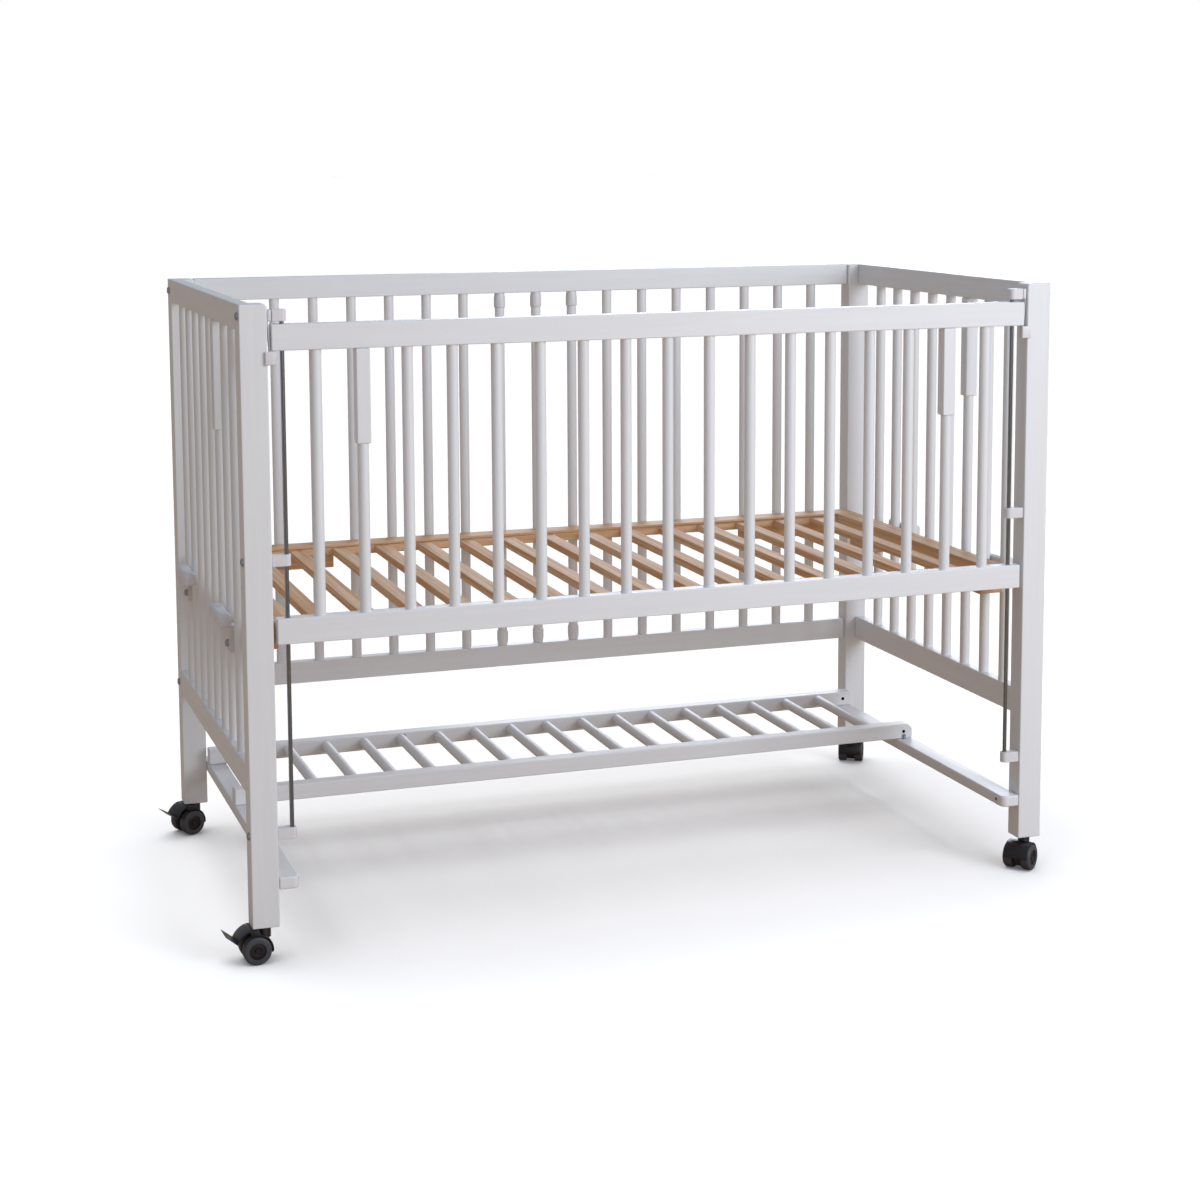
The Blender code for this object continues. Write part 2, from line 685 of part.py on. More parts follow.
def build_guide_rods():
    """Steel rods that the drop side slides on, from the bottom bracket up into the top one."""
    low = FOOT_Z + LOW_FITTING_Z + FITTING_HEIGHT / 2 - ROD_SOCKET_DEPTH + FIT_GAP
    high = FOOT_Z + TOP_FITTING_Z - FITTING_HEIGHT / 2 + ROD_SOCKET_DEPTH - FIT_GAP
    for side, sign in SIDES.items():
        name = "guide_rod_" + side
        rod = [((0, 0, 0), (0, 0, high - low))]
        mesh = rods_mesh(name, rod, ROD_DIAMETER / 2)
        smooth(place(name, mesh, ZINC_STEEL, (sign * ROD_X, FRONT_RAIL_Y, low)))


def build_rod_fittings():
    """White fittings bolted to the posts: brackets with blind sockets at both ends, clips bored through."""
    rod_hole = ROD_DIAMETER / 2 + ROD_SOCKET_CLEARANCE
    bolt_hole = BOLT_DIAMETER / 2 + BOLT_HOLE_CLEARANCE
    half_depth = FITTING_DEPTH / 2
    half_height = FITTING_HEIGHT / 2
    latch_room = LATCH_HEAD_WIDTH + 2 * LATCH_HEAD_GAP
    for side, sign in SIDES.items():
        levels = (
            ("top_bracket_", TOP_FITTING_Z, latch_room),
            ("middle_clip_", MID_FITTING_Z, FIT_GAP),
            ("bottom_bracket_", LOW_FITTING_Z, FIT_GAP),
        )
        for kind, level, from_post in levels:
            name = kind + side
            z = FOOT_Z + level
            near = sign * (POST_IN_X - from_post)
            far = sign * (POST_IN_X - FITTING_REACH)
            low = (min(near, far), FRONT_RAIL_Y - half_depth, z - half_height)
            high = (max(near, far), FRONT_RAIL_Y + half_depth, z + half_height)
            fitting = place(name, box_mesh(name, (low, high)), WHITE_PLASTIC)
            bevel(fitting, FITTING_EDGE, 2)
            rod_low, rod_high = z - FITTING_HEIGHT, z + FITTING_HEIGHT
            if kind == "top_bracket_":
                rod_high = z - half_height + ROD_SOCKET_DEPTH
            elif kind == "bottom_bracket_":
                rod_low = z + half_height - ROD_SOCKET_DEPTH
            socket = [((sign * ROD_X, FRONT_RAIL_Y, rod_low), (sign * ROD_X, FRONT_RAIL_Y, rod_high))]
            cut = helper(name + "_socket", rods_mesh(name + "_socket", socket, rod_hole))
            boolean(fitting, cut, "DIFFERENCE")
            end = POST_IN_X - FITTING_BOLT_BITE - FIT_GAP
            bore = [((sign * POST_IN_X, FRONT_RAIL_Y, z), (sign * end, FRONT_RAIL_Y, z))]
            cut = helper(name + "_bore", rods_mesh(name + "_bore", bore, bolt_hole))
            boolean(fitting, cut, "DIFFERENCE")


def build_latches():
    """Springy latches: a head round the top bolt, a strip down the gap by the rail, and a thumb tab."""
    head_half = LATCH_HEAD_WIDTH / 2
    z_top = FOOT_Z + TOP_FITTING_Z
    tab_top = FOOT_Z + DROP_TOP_Z - RAIL_HEIGHT - LATCH_DROP_GAP
    tab_low = tab_top - LATCH_TAB_HEIGHT
    half_head_height = FITTING_HEIGHT / 2
    strip_top = z_top - half_head_height
    front = -HALF_WIDTH
    for side, sign in SIDES.items():
        name = "latch_" + side
        pivot_x = sign * (POST_IN_X - LATCH_HEAD_GAP - head_half)

        def from_post(distance):
            """Crib x at this distance inside the post's face."""
            return sign * (POST_IN_X - distance)

        # The strip leans away from the post, from the head's post side down to the rail's end.
        low_in = DROP_END_GAP - LATCH_DROP_GAP
        outline = [
            (from_post(LATCH_HEAD_GAP), strip_top + LATCH_STRIP),
            (from_post(LATCH_HEAD_GAP + LATCH_STRIP), strip_top + LATCH_STRIP),
            (from_post(low_in), tab_top),
            (from_post(low_in), tab_low),
            (from_post(low_in - LATCH_STRIP), tab_low),
            (from_post(low_in - LATCH_STRIP), tab_top),
        ]
        outline = [(x - pivot_x, z - z_top) for x, z in outline]
        mesh = extruded(name, outline, LATCH_STRIP_DEPTH)
        latch = place(name, mesh, WHITE_PLASTIC, (pivot_x, FRONT_RAIL_Y, z_top))
        head_low = (-head_half, -FITTING_DEPTH / 2, -half_head_height)
        head_high = (head_half, FITTING_DEPTH / 2, half_head_height)
        head = helper(name + "_head", box_mesh(name + "_head", (head_low, head_high)), latch.location)
        bevel(head, LATCH_HEAD_WIDTH / 4)
        boolean(latch, head, "UNION")
        # The tab stands in front of the post and of the rail, with a neck back to the strip.
        outer = from_post(-LATCH_TAB_OVER_POST)
        inner = from_post(LATCH_TAB_WIDTH - LATCH_TAB_OVER_POST)
        tab_low_corner = (min(outer, inner), front - FIT_GAP - LATCH_TAB_DEPTH, tab_low)
        tab_high_corner = (max(outer, inner), front - FIT_GAP, tab_top)
        neck_a = from_post(low_in)
        neck_b = from_post(low_in - LATCH_STRIP)
        neck_low = (min(neck_a, neck_b), front - FIT_GAP - LATCH_TAB_DEPTH / 2, tab_low)
        neck_high = (max(neck_a, neck_b), FRONT_RAIL_Y, tab_top)
        tab = helper(name + "_tab", box_mesh(name + "_tab", (tab_low_corner, tab_high_corner)))
        bevel(tab, RAIL_EDGE / 2)
        boolean(latch, tab, "UNION")
        neck = helper(name + "_neck", box_mesh(name + "_neck", (neck_low, neck_high)))
        boolean(latch, neck, "UNION")
        eye_ends = pivot_x - LATCH_HEAD_WIDTH, pivot_x + LATCH_HEAD_WIDTH
        eye = [tuple((eye_x, FRONT_RAIL_Y, z_top) for eye_x in eye_ends)]
        cut = helper(name + "_eye", rods_mesh(name + "_eye", eye, LATCH_HOLE_DIAMETER / 2))
        boolean(latch, cut, "DIFFERENCE")


# Bed base.


def base_limits():
    """The base's outer box in plan: x, front y, back y."""
    x = POST_IN_X - BASE_POST_GAP
    front = FRONT_RAIL_Y + RAIL_THICKNESS / 2 + BASE_FRONT_GAP
    back = BACK_RAIL_Y - RAIL_THICKNESS / 2 - BASE_BACK_GAP
    return x, front, back


def clamp_places():
    """For each clamp: the bolt's y between the end's first two bars, the jaw's middle y at the second bar,
    and the way from the crib's middle to its post."""
    row = bar_row(END_BARS)
    return {
        "front": ((row[0] + row[1]) / 2, row[1], -1),
        "back": ((row[-1] + row[-2]) / 2, row[-2], 1),
    }


def clamp_bolt_z():
    lug_low = FOOT_Z + BASE_TOP_Z - JAW_BELOW_TOP - JAW_HEIGHT - LUG_DROP
    return lug_low + CLAMP_BOLT_RISE


def build_base():
    """The slatted base: long rails, end rails, slats let into them, corner cleats, inner clamp blocks."""
    x, front, back = base_limits()
    top = FOOT_Z + BASE_TOP_Z
    low = top - BASE_RAIL_HEIGHT
    long_rails = box_mesh(
        "slatted_base",
        ((-x, front, low), (x, front + BASE_RAIL_WIDTH, top)),
        ((-x, back - BASE_RAIL_WIDTH, low), (x, back, top)),
    )
    base = place("slatted_base", long_rails, PINE)
    bevel(base, BASE_EDGE)
    overlap = SLAT_TENON
    end_low, end_high = front + BASE_RAIL_WIDTH - overlap, back - BASE_RAIL_WIDTH + overlap
    ends = []
    for sign in SIDES.values():
        outer, inner = sign * x, sign * (x - BASE_END_RAIL_WIDTH)
        ends.append(((min(outer, inner), end_low, low), (max(outer, inner), end_high, top)))
    boolean(base, helper("base_end_rails", box_mesh("base_end_rails", *ends)), "UNION")
    slat_top = top - SLAT_BELOW_TOP
    slat_low = slat_top - SLAT_THICKNESS
    half = SLAT_WIDTH / 2
    slats = [
        ((slat_x - half, end_low, slat_low), (slat_x + half, end_high, slat_top))
        for slat_x in centred(SLATS, SLAT_PITCH)
    ]
    boolean(base, helper("base_slats", box_mesh("base_slats", *slats)), "UNION")
    cleats = []
    blocks = []
    block_near = END_RAIL_X - BAR_DIAMETER / 2 - FIT_GAP
    block_far = HALF_LENGTH - BLOCK_REACH
    block_low = clamp_bolt_z() - BLOCK_BELOW_BOLT
    for sign in SIDES.values():
        outer, inner = sign * x, sign * (x - CLEAT_LENGTH)
        cleat_places = ((front, FRONT_CLEAT_THICKNESS), (back - CLEAT_WIDTH, BACK_CLEAT_THICKNESS))
        for y_low, thickness in cleat_places:
            corner_low = (min(outer, inner), y_low, low - thickness)
            cleats.append((corner_low, (max(outer, inner), y_low + CLEAT_WIDTH, low + CLEAT_BITE)))
        outer, inner = sign * block_near, sign * block_far
        for bolt_y, _, post_way in clamp_places().values():
            post_end = bolt_y + post_way * BLOCK_FROM_BOLT
            ends_y = post_end, post_end - post_way * BLOCK_LENGTH
            corner_low = (min(outer, inner), min(ends_y), block_low)
            blocks.append((corner_low, (max(outer, inner), max(ends_y), block_low + BLOCK_HEIGHT)))
    boolean(base, helper("base_cleats", box_mesh("base_cleats", *cleats)), "UNION")
    boolean(base, helper("clamp_blocks", box_mesh("clamp_blocks", *blocks)), "UNION")
    radius = CLAMP_BOLT_DIAMETER / 2 + BOLT_HOLE_CLEARANCE
    bore_end = block_near - CLAMP_BOLT_BITE - FIT_GAP
    bores = [
        ((sign * HALF_LENGTH, bolt_y, clamp_bolt_z()), (sign * bore_end, bolt_y, clamp_bolt_z()))
        for sign in SIDES.values()
        for bolt_y, _, _ in clamp_places().values()
    ]
    boolean(base, helper("clamp_bores", rods_mesh("clamp_bores", bores, radius)), "DIFFERENCE")


def build_clamps():
    """Outer jaws across the second bar, each with a lug between the bars that a bolt pulls inwards."""
    jaw_top = FOOT_Z + BASE_TOP_Z - JAW_BELOW_TOP
    jaw_low = jaw_top - JAW_HEIGHT
    near = END_RAIL_X + BAR_DIAMETER / 2 + FIT_GAP
    far = near + JAW_THICKNESS
    lug_out = END_RAIL_X + BAR_DIAMETER / 2 + LUG_STANDS_OUT
    bolt_z = clamp_bolt_z()
    radius = CLAMP_BOLT_DIAMETER / 2
    block_near = END_RAIL_X - BAR_DIAMETER / 2 - FIT_GAP
    for side, sign in SIDES.items():
        for end, (bolt_y, jaw_y, _) in clamp_places().items():
            name = f"clamp_jaw_{end}_{side}"
            low = (min(sign * near, sign * far), jaw_y - JAW_LENGTH / 2, jaw_low)
            high = (max(sign * near, sign * far), jaw_y + JAW_LENGTH / 2, jaw_top)
            jaw = place(name, box_mesh(name, (low, high)), WHITE_PLASTIC)
            bevel(jaw, JAW_EDGE)
            lug_ends = sign * lug_out, sign * (lug_out - LUG_DEPTH)
            low = (min(lug_ends), bolt_y - LUG_WIDTH / 2, jaw_low - LUG_DROP)
            high = (max(lug_ends), bolt_y + LUG_WIDTH / 2, jaw_low + JAW_EDGE)
            lug = helper(name + "_lug", box_mesh(name + "_lug", (low, high)))
            boolean(jaw, lug, "UNION")
            bore = [((0, bolt_y, bolt_z), (sign * (far + JAW_EDGE), bolt_y, bolt_z))]
            cut = helper(name + "_bore", rods_mesh(name + "_bore", bore, radius + BOLT_HOLE_CLEARANCE))
            boolean(jaw, cut, "DIFFERENCE")
            bolt_name = f"clamp_bolt_{end}_{side}"
            length = lug_out + FIT_GAP - (block_near - CLAMP_BOLT_BITE)
            head = CLAMP_HEAD_DIAMETER / 2
            mesh = bolt_mesh(bolt_name, length, head, CLAMP_HEAD_HEIGHT, radius)
            place_bolt(bolt_name, mesh, (sign * (lug_out + FIT_GAP), bolt_y, bolt_z), -sign)


# Stretchers and shelf.


def build_stretchers():
    """Boards from front to back on the posts' inner faces, which carry the shelf."""
    low = FOOT_Z + STRETCHER_Z
    for side, sign in SIDES.items():
        near = sign * (POST_IN_X - FIT_GAP)
        far = sign * (POST_IN_X - FIT_GAP - STRETCHER_WIDTH)
        corner_low = (min(near, far), -HALF_WIDTH, low)
        corner_high = (max(near, far), HALF_WIDTH, low + STRETCHER_THICKNESS)
        name = "stretcher_" + side
        board = place(name, box_mesh(name, (corner_low, corner_high)), WHITE_LACQUER)
        bevel(board, STRETCHER_EDGE)


def build_shelf():
    """The shelf: two rails lying on the stretchers, with a row of rungs between them."""
    x = POST_IN_X - SHELF_POST_GAP
    low = FOOT_Z + STRETCHER_Z + STRETCHER_THICKNESS + FIT_GAP
    top = low + SHELF_RAIL_HEIGHT
    back = POST_IN_Y - SHELF_POST_GAP
    front_rail = ((-x, SHELF_FRONT_Y, low), (x, SHELF_FRONT_Y + SHELF_RAIL_WIDTH, top))
    back_rail = ((-x, back - SHELF_RAIL_WIDTH, low), (x, back, top))
    shelf = place("shelf", box_mesh("shelf", front_rail, back_rail), WHITE_LACQUER)
    bevel(shelf, RAIL_EDGE)
    z = top - BAR_DIAMETER / 2 - RAIL_EDGE
    start = SHELF_FRONT_Y + SHELF_RAIL_WIDTH - BAR_TENON
    end = back - SHELF_RAIL_WIDTH + BAR_TENON
    rods = [((rx, start, z), (rx, end, z)) for rx in bar_row(LONG_BARS)]
    boolean(shelf, helper("shelf_rungs", rods_mesh("shelf_rungs", rods, BAR_DIAMETER / 2)), "UNION")


# Casters. Each is built with its axle along local Y and its trail along local +X, about the stem's axis.


def on_arc(radius, degrees):
    """A point on a circle about the axle, in the housing's XZ plane, with the trail side at 180 degrees."""
    angle = math.radians(degrees)
    return CASTER_TRAIL - radius * math.cos(angle), WHEEL_RADIUS + radius * math.sin(angle)


def arc_points(radius, start, end):
    return [on_arc(radius, start + (end - start) * i / ARC_STEPS) for i in range(ARC_STEPS + 1)]


def wheel_mesh(name):
    """Both wheels and their axle, turned about local Z."""
    outer = WEB_THICKNESS / 2 + WEB_SIDE_GAP + WHEEL_WIDTH
    inner = WEB_THICKNESS / 2 + WEB_SIDE_GAP
    radius = WHEEL_RADIUS
    hub = HUB_DIAMETER / 2
    half = [
        (0, outer - HUB_RECESS),
        (hub, outer - HUB_RECESS),
        (hub, outer),
        (radius - WHEEL_EDGE, outer),
        (radius, outer - WHEEL_EDGE),
        (radius, inner + WHEEL_EDGE),
        (radius - WHEEL_EDGE, inner),
        (AXLE_DIAMETER / 2, inner),
    ]
    return turned(name, half + [(r, -z) for r, z in reversed(half)], WHEEL_STEPS)


def build_caster(name, x, y, degrees, braked):
    """A housing on its stem, a wheel pair that spins in it and, on a braked caster, a foot lever."""
    turn = math.radians(degrees)
    stem_top = FOOT_Z + STEM_LENGTH
    hood_in = WHEEL_RADIUS + HOOD_GAP
    end = BRAKED_HOOD_END if braked else HOOD_END
    outline = arc_points(hood_in + HOOD_WALL, HOOD_START, end)
    if braked:
        # A raised shoulder that the brake lever butts against.
        ledge = FOOT_Z - NECK_GAP - FIT_GAP - WHEEL_RADIUS
        outline += [on_arc(ledge, degree) for degree in LEDGE_TOP]
        end = LEDGE_END
        outline.append(on_arc(ledge + LEVER_WALL / 2, end))
    outline += [on_arc(WEB_DIAMETER / 2, degree) for degree in (end, *WEB_CORNERS)]
    place_at = (x, y, 0)
    hood_mesh = extruded("hood", outline, HOOD_WIDTH)
    hood = place(f"caster_housing_{name}", hood_mesh, BLACK_PLASTIC, place_at, turn)
    neck_low = FOOT_Z - NECK_LENGTH
    neck = [((0, 0, neck_low), (0, 0, FOOT_Z - NECK_GAP))]
    neck_mesh = rods_mesh("neck", neck, NECK_DIAMETER / 2, WHEEL_STEPS)
    boolean(hood, helper(f"neck_{name}", neck_mesh, place_at, turn), "UNION")
    stem = [((0, 0, FOOT_Z - NECK_LENGTH / 2), (0, 0, stem_top))]
    stem_mesh = rods_mesh("stem", stem, STEM_DIAMETER / 2)
    boolean(hood, helper(f"stem_{name}", stem_mesh, place_at, turn), "UNION")
    inner, outer = WEB_THICKNESS / 2, HOOD_WIDTH
    rooms = [
        ((CASTER_TRAIL, sign * inner, WHEEL_RADIUS), (CASTER_TRAIL, sign * outer, WHEEL_RADIUS))
        for sign in (-1, 1)
    ]
    room_mesh = rods_mesh("wheel_rooms", rooms, hood_in, 2 * WHEEL_STEPS)
    boolean(hood, helper(f"wheel_rooms_{name}", room_mesh, place_at, turn), "DIFFERENCE")
    axle = [((CASTER_TRAIL, -outer, WHEEL_RADIUS), (CASTER_TRAIL, outer, WHEEL_RADIUS))]
    axle_mesh = rods_mesh("axle_hole", axle, AXLE_DIAMETER / 2 + AXLE_CLEARANCE, WHEEL_STEPS)
    boolean(hood, helper(f"axle_hole_{name}", axle_mesh, place_at, turn), "DIFFERENCE")
    axle_at = Vector(place_at) + Matrix.Rotation(turn, 3, "Z") @ Vector((CASTER_TRAIL, 0, WHEEL_RADIUS))
    wheels = place(f"caster_wheels_{name}", wheel_mesh("wheels"), WHEEL_PLASTIC, axle_at)
    wheels.rotation_euler = (math.pi / 2, 0, turn)
    smooth(wheels)
    if braked:
        build_lever(name, place_at, turn)


def build_lever(name, place_at, turn):
    """The brake lever: a curved pedal over the wheels, hinged at its top end, with a turned-up toe."""
    lever_in = WHEEL_RADIUS + LEVER_GAP
    lever_out = lever_in + LEVER_WALL
    toe = math.radians(LEVER_TIP_RISE)
    corner_x, corner_z = on_arc(lever_out, LEVER_END)
    tip = (corner_x + LEVER_TIP * math.cos(toe), corner_z + LEVER_TIP * math.sin(toe))
    under_x, under_z = on_arc(lever_in, LEVER_END + TOE_BEND)
    outline = arc_points(lever_in, LEVER_START, LEVER_END)
    outline += [(under_x, under_z), (tip[0], tip[1] - LEVER_WALL / 2), tip]
    outline += arc_points(lever_out, LEVER_END, LEVER_START)
    pivot = on_arc((lever_in + lever_out) / 2, LEVER_START)
    outline = [(px - pivot[0], pz - pivot[1]) for px, pz in outline]
    at = Vector(place_at) + Matrix.Rotation(turn, 3, "Z") @ Vector((pivot[0], 0, pivot[1]))
    mesh = extruded("lever", outline, LEVER_WIDTH)
    smooth(place(f"brake_lever_{name}", mesh, BLACK_PLASTIC, at, turn))


def build_casters():
    for name, (side_x, side_y, degrees, braked) in CASTERS.items():
        x = side_x * (HALF_LENGTH - POST_WIDTH / 2)
        y = side_y * (HALF_WIDTH - POST_DEPTH / 2)
        build_caster(name, x, y, degrees, braked)


build_posts()
build_end_panels()
build_back_panel()
build_slip_rungs()
build_joint_bolts()
build_drop_side()
build_sleeves()
build_guide_rods()
build_rod_fittings()
build_latches()
build_base()
build_clamps()
build_stretchers()
build_shelf()
build_casters()
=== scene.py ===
import json
import math

import bpy
from mathutils import Matrix, Vector


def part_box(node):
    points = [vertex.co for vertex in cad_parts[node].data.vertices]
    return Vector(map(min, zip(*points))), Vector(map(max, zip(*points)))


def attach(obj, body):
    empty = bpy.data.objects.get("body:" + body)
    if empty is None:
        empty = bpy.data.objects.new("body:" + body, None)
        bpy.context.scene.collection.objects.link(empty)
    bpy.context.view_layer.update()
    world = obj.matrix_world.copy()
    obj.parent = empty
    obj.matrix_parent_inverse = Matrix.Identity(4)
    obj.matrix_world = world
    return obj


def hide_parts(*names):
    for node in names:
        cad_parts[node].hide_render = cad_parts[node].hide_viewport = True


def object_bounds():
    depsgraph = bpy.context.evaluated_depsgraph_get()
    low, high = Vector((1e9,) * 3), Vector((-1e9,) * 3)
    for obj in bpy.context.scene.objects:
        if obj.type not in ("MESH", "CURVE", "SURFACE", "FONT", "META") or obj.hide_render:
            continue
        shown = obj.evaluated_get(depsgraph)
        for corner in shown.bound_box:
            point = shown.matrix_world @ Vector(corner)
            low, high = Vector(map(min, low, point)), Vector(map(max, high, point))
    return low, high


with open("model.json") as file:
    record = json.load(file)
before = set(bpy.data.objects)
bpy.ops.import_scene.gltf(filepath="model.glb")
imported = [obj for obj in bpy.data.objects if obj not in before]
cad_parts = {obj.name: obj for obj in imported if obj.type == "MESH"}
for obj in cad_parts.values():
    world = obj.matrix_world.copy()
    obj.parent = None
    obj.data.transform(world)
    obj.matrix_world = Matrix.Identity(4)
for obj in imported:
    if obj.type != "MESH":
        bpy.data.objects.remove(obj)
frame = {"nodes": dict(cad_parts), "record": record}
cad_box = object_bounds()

MM = 0.001

# The studio: a plain pale floor under soft light, and a camera a little left of the crib's middle,
# at about the height of an adult's chest, with a long lens.

post_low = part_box("post_front_left")[0]
crib_middle = Vector(((cad_box[0][0] + cad_box[1][0]) / 2, 0, cad_box[1][2] / 2))
CAMERA_FROM_CORNER = Vector((-0.508, -2.946, 1.071))
CAMERA_TURN = math.radians(19.11)
CAMERA_DIP = math.radians(6.66)
CAMERA_TILT = math.radians(-0.25)
CAMERA_LENS = 66.11
CAMERA_SHIFT = -0.16
RIGHT_KEY_WATTS = 74
FRONT_FILL_WATTS = 12
BACK_LIGHT_WATTS = 62
CEILING_POWER = 3.15
CEILING_SPREAD = math.radians(68)
CEILING_LEAN = math.radians(-9)
ROOM_AT_LEFT = 0.4
ROOM_AT_RIGHT = 0.52
FLOOR_LIFT = 0.06
FLOOR_SIZE = 400  # large enough that its far edge can't be seen


def deselect():
    if bpy.context.object and bpy.context.object.mode != "OBJECT":
        bpy.ops.object.mode_set(mode="OBJECT")
    bpy.ops.object.select_all(action="DESELECT")


deselect()
turned_right = Matrix.Rotation(-CAMERA_TURN, 3, "Z")
looking_down = Matrix.Rotation(math.pi / 2 - CAMERA_DIP, 3, "X")
tilted = Matrix.Rotation(CAMERA_TILT, 3, "Z")
bpy.ops.object.camera_add(location=Vector(post_low) + CAMERA_FROM_CORNER)
camera = bpy.context.object
camera.rotation_euler = (turned_right @ looking_down @ tilted).to_euler()
camera.data.lens = CAMERA_LENS
camera.data.sensor_width = 36
camera.data.shift_y = CAMERA_SHIFT
camera.data.clip_end = 100
bpy.context.scene.camera = camera
bpy.context.scene.view_settings.view_transform = "Standard"


def colour(hex_code):
    """A linear colour from an sRGB hex code."""
    parts = [int(hex_code[i : i + 2], 16) / 255 for i in (1, 3, 5)]
    linear = [c / 12.92 if c <= 0.04045 else ((c + 0.055) / 1.055) ** 2.4 for c in parts]
    return (*linear, 1.0)


def add(tree, kind, inputs=None, **settings):
    """A node with its settings, and with each input given a value or linked to another node's output."""
    made = tree.nodes.new(kind)
    for name, value in settings.items():
        setattr(made, name, value)
    for name, value in (inputs or {}).items():
        if isinstance(value, bpy.types.NodeSocket):
            tree.links.new(value, made.inputs[name])
        else:
            made.inputs[name].default_value = value
    return made


def new_material(name):
    """An empty node material and its tree."""
    made = bpy.data.materials.new(name)
    made.use_nodes = True
    made.node_tree.nodes.clear()
    return made, made.node_tree


def softbox(name, location, size, watts, tint):
    """A square area light aimed at the middle of the crib."""
    bpy.ops.object.light_add(type="AREA", location=location)
    lamp = bpy.context.object
    lamp.name = name
    lamp.data.size = size
    lamp.data.energy = watts
    lamp.data.color = colour(tint)[:3]
    lamp.rotation_euler = (crib_middle - lamp.location).to_track_quat("-Z", "Y").to_euler()
    return lamp


softbox("right_front_softbox", (1.9, -3.0, 1.8), 1.9, RIGHT_KEY_WATTS, "#EDF3FF")
softbox("front_softbox", (0.0, -3.8, 1.5), 2.2, FRONT_FILL_WATTS, "#EDF3FF")

# The room is brighter on the right and bluer on the left. The camera sees a white wall.
world = bpy.context.scene.world or bpy.data.worlds.new("studio")
bpy.context.scene.world = world
world.use_nodes = True
sky = world.node_tree
sky.nodes.clear()
facing = add(sky, "ShaderNodeTexCoord")
ways = add(sky, "ShaderNodeSeparateXYZ", {"Vector": facing.outputs["Generated"]})
left_to_right = {"Value": ways.outputs["X"], "From Min": -1.0, "From Max": 1.0}
across = add(sky, "ShaderNodeMapRange", left_to_right)
tints = {"A": colour("#DFE9FA"), "B": colour("#F7F5F5")}
room_tint = add(sky, "ShaderNodeMix", {"Factor": across.outputs[0], **tints}, data_type="RGBA")
rising = {"Value": across.outputs[0], "To Min": ROOM_AT_LEFT, "To Max": ROOM_AT_RIGHT}
room_power = add(sky, "ShaderNodeMapRange", rising)
room_inputs = {"Color": room_tint.outputs["Result"], "Strength": room_power.outputs[0]}
room_light = add(sky, "ShaderNodeBackground", room_inputs)
white_wall = add(sky, "ShaderNodeBackground", {"Color": colour("#FFFFFF"), "Strength": 1.0})
ray = add(sky, "ShaderNodeLightPath").outputs["Is Camera Ray"]
both = add(sky, "ShaderNodeMixShader", {0: ray, 1: room_light.outputs[0], 2: white_wall.outputs[0]})
add(sky, "ShaderNodeOutputWorld", {"Surface": both.outputs[0]})

# Seen straight, the floor is white paper; the light that it throws back is dimmer and warmer.
floor_paint, tree = new_material("pale_studio_floor")
paper = add(tree, "ShaderNodeBsdfDiffuse", {"Color": colour("#DADADA")})
lift = add(tree, "ShaderNodeEmission", {"Color": colour("#FFFFFF"), "Strength": FLOOR_LIFT})
seen_floor = add(tree, "ShaderNodeAddShader", {0: paper.outputs[0], 1: lift.outputs[0]})
bounce = add(tree, "ShaderNodeBsdfDiffuse", {"Color": colour("#8F7C68")})
ray = add(tree, "ShaderNodeLightPath").outputs["Is Camera Ray"]
floor_mix = add(tree, "ShaderNodeMixShader", {0: ray, 1: bounce.outputs[0], 2: seen_floor.outputs[0]})
add(tree, "ShaderNodeOutputMaterial", {"Surface": floor_mix.outputs[0]})
bpy.ops.mesh.primitive_plane_add(size=FLOOR_SIZE, location=(0, 0, 0))
studio_floor = bpy.context.object
studio_floor.name = "studio_floor"
studio_floor.data.materials.append(floor_paint)

# A wide light from above, a little behind and to the left, for the floor alone, lays the soft shadow
# on it.
bpy.ops.object.light_add(type="SUN", location=(0, 0, 3), rotation=(CEILING_LEAN, CEILING_LEAN, 0))
ceiling = bpy.context.object
ceiling.name = "wide_ceiling_light"
ceiling.data.energy = CEILING_POWER
ceiling.data.angle = CEILING_SPREAD
only_floor = bpy.data.collections.new("lit_by_ceiling")
only_floor.objects.link(studio_floor)
ceiling.light_linking.receiver_collection = only_floor

# A softbox behind the crib, on its right, keeps the back from going dull. It leaves the floor alone.
back_light = softbox("back_right_softbox", (1.6, 3.2, 1.9), 2.0, BACK_LIGHT_WATTS, "#EDF3FF")
all_but_floor = bpy.data.collections.new("lit_from_behind")
all_but_floor.objects.link(studio_floor)
all_but_floor.collection_objects[0].light_linking.link_state = "EXCLUDE"
back_light.light_linking.receiver_collection = all_but_floor

# The corner posts: planed beech, 33 by 38.5 mm, with every edge rounded over and sprayed with a white
# satin lacquer. The lacquer fills the pores, so the grain only shows as faint streaks along the wood.

LACQUER_WHITE = "#E5E8EA"
LACQUER_SHADE = "#E2E4E6"
PORE_TINT = "#BDB8B4"
PORE_SPACING = 1.1 * MM  # across the grain
PORE_LENGTH = 28 * MM
STREAK_SPACING = 9 * MM
STREAK_LENGTH = 180 * MM
ORANGE_PEEL = 1.6 * MM  # real lacquer's is finer, drawn coarse enough to show
LACQUER_ROUGHNESS = 0.42
POST_ROUND = 1.8 * MM
EDGE_STEPS = 3  # facets across a rounded edge
SAME_LINE = 0.01 * MM  # an edge's ends differ by less than this across its line
SAME_PLACE = 0.1 * MM
POST_TOP_ROUND = 5 * MM  # the inner corner of a post's top


def grain_scale(grain, across, length):
    """How often a pattern repeats in a metre: by its width across the wood and its length along it."""
    scale = [1 / across] * 3
    scale[grain] = 1 / length
    return scale


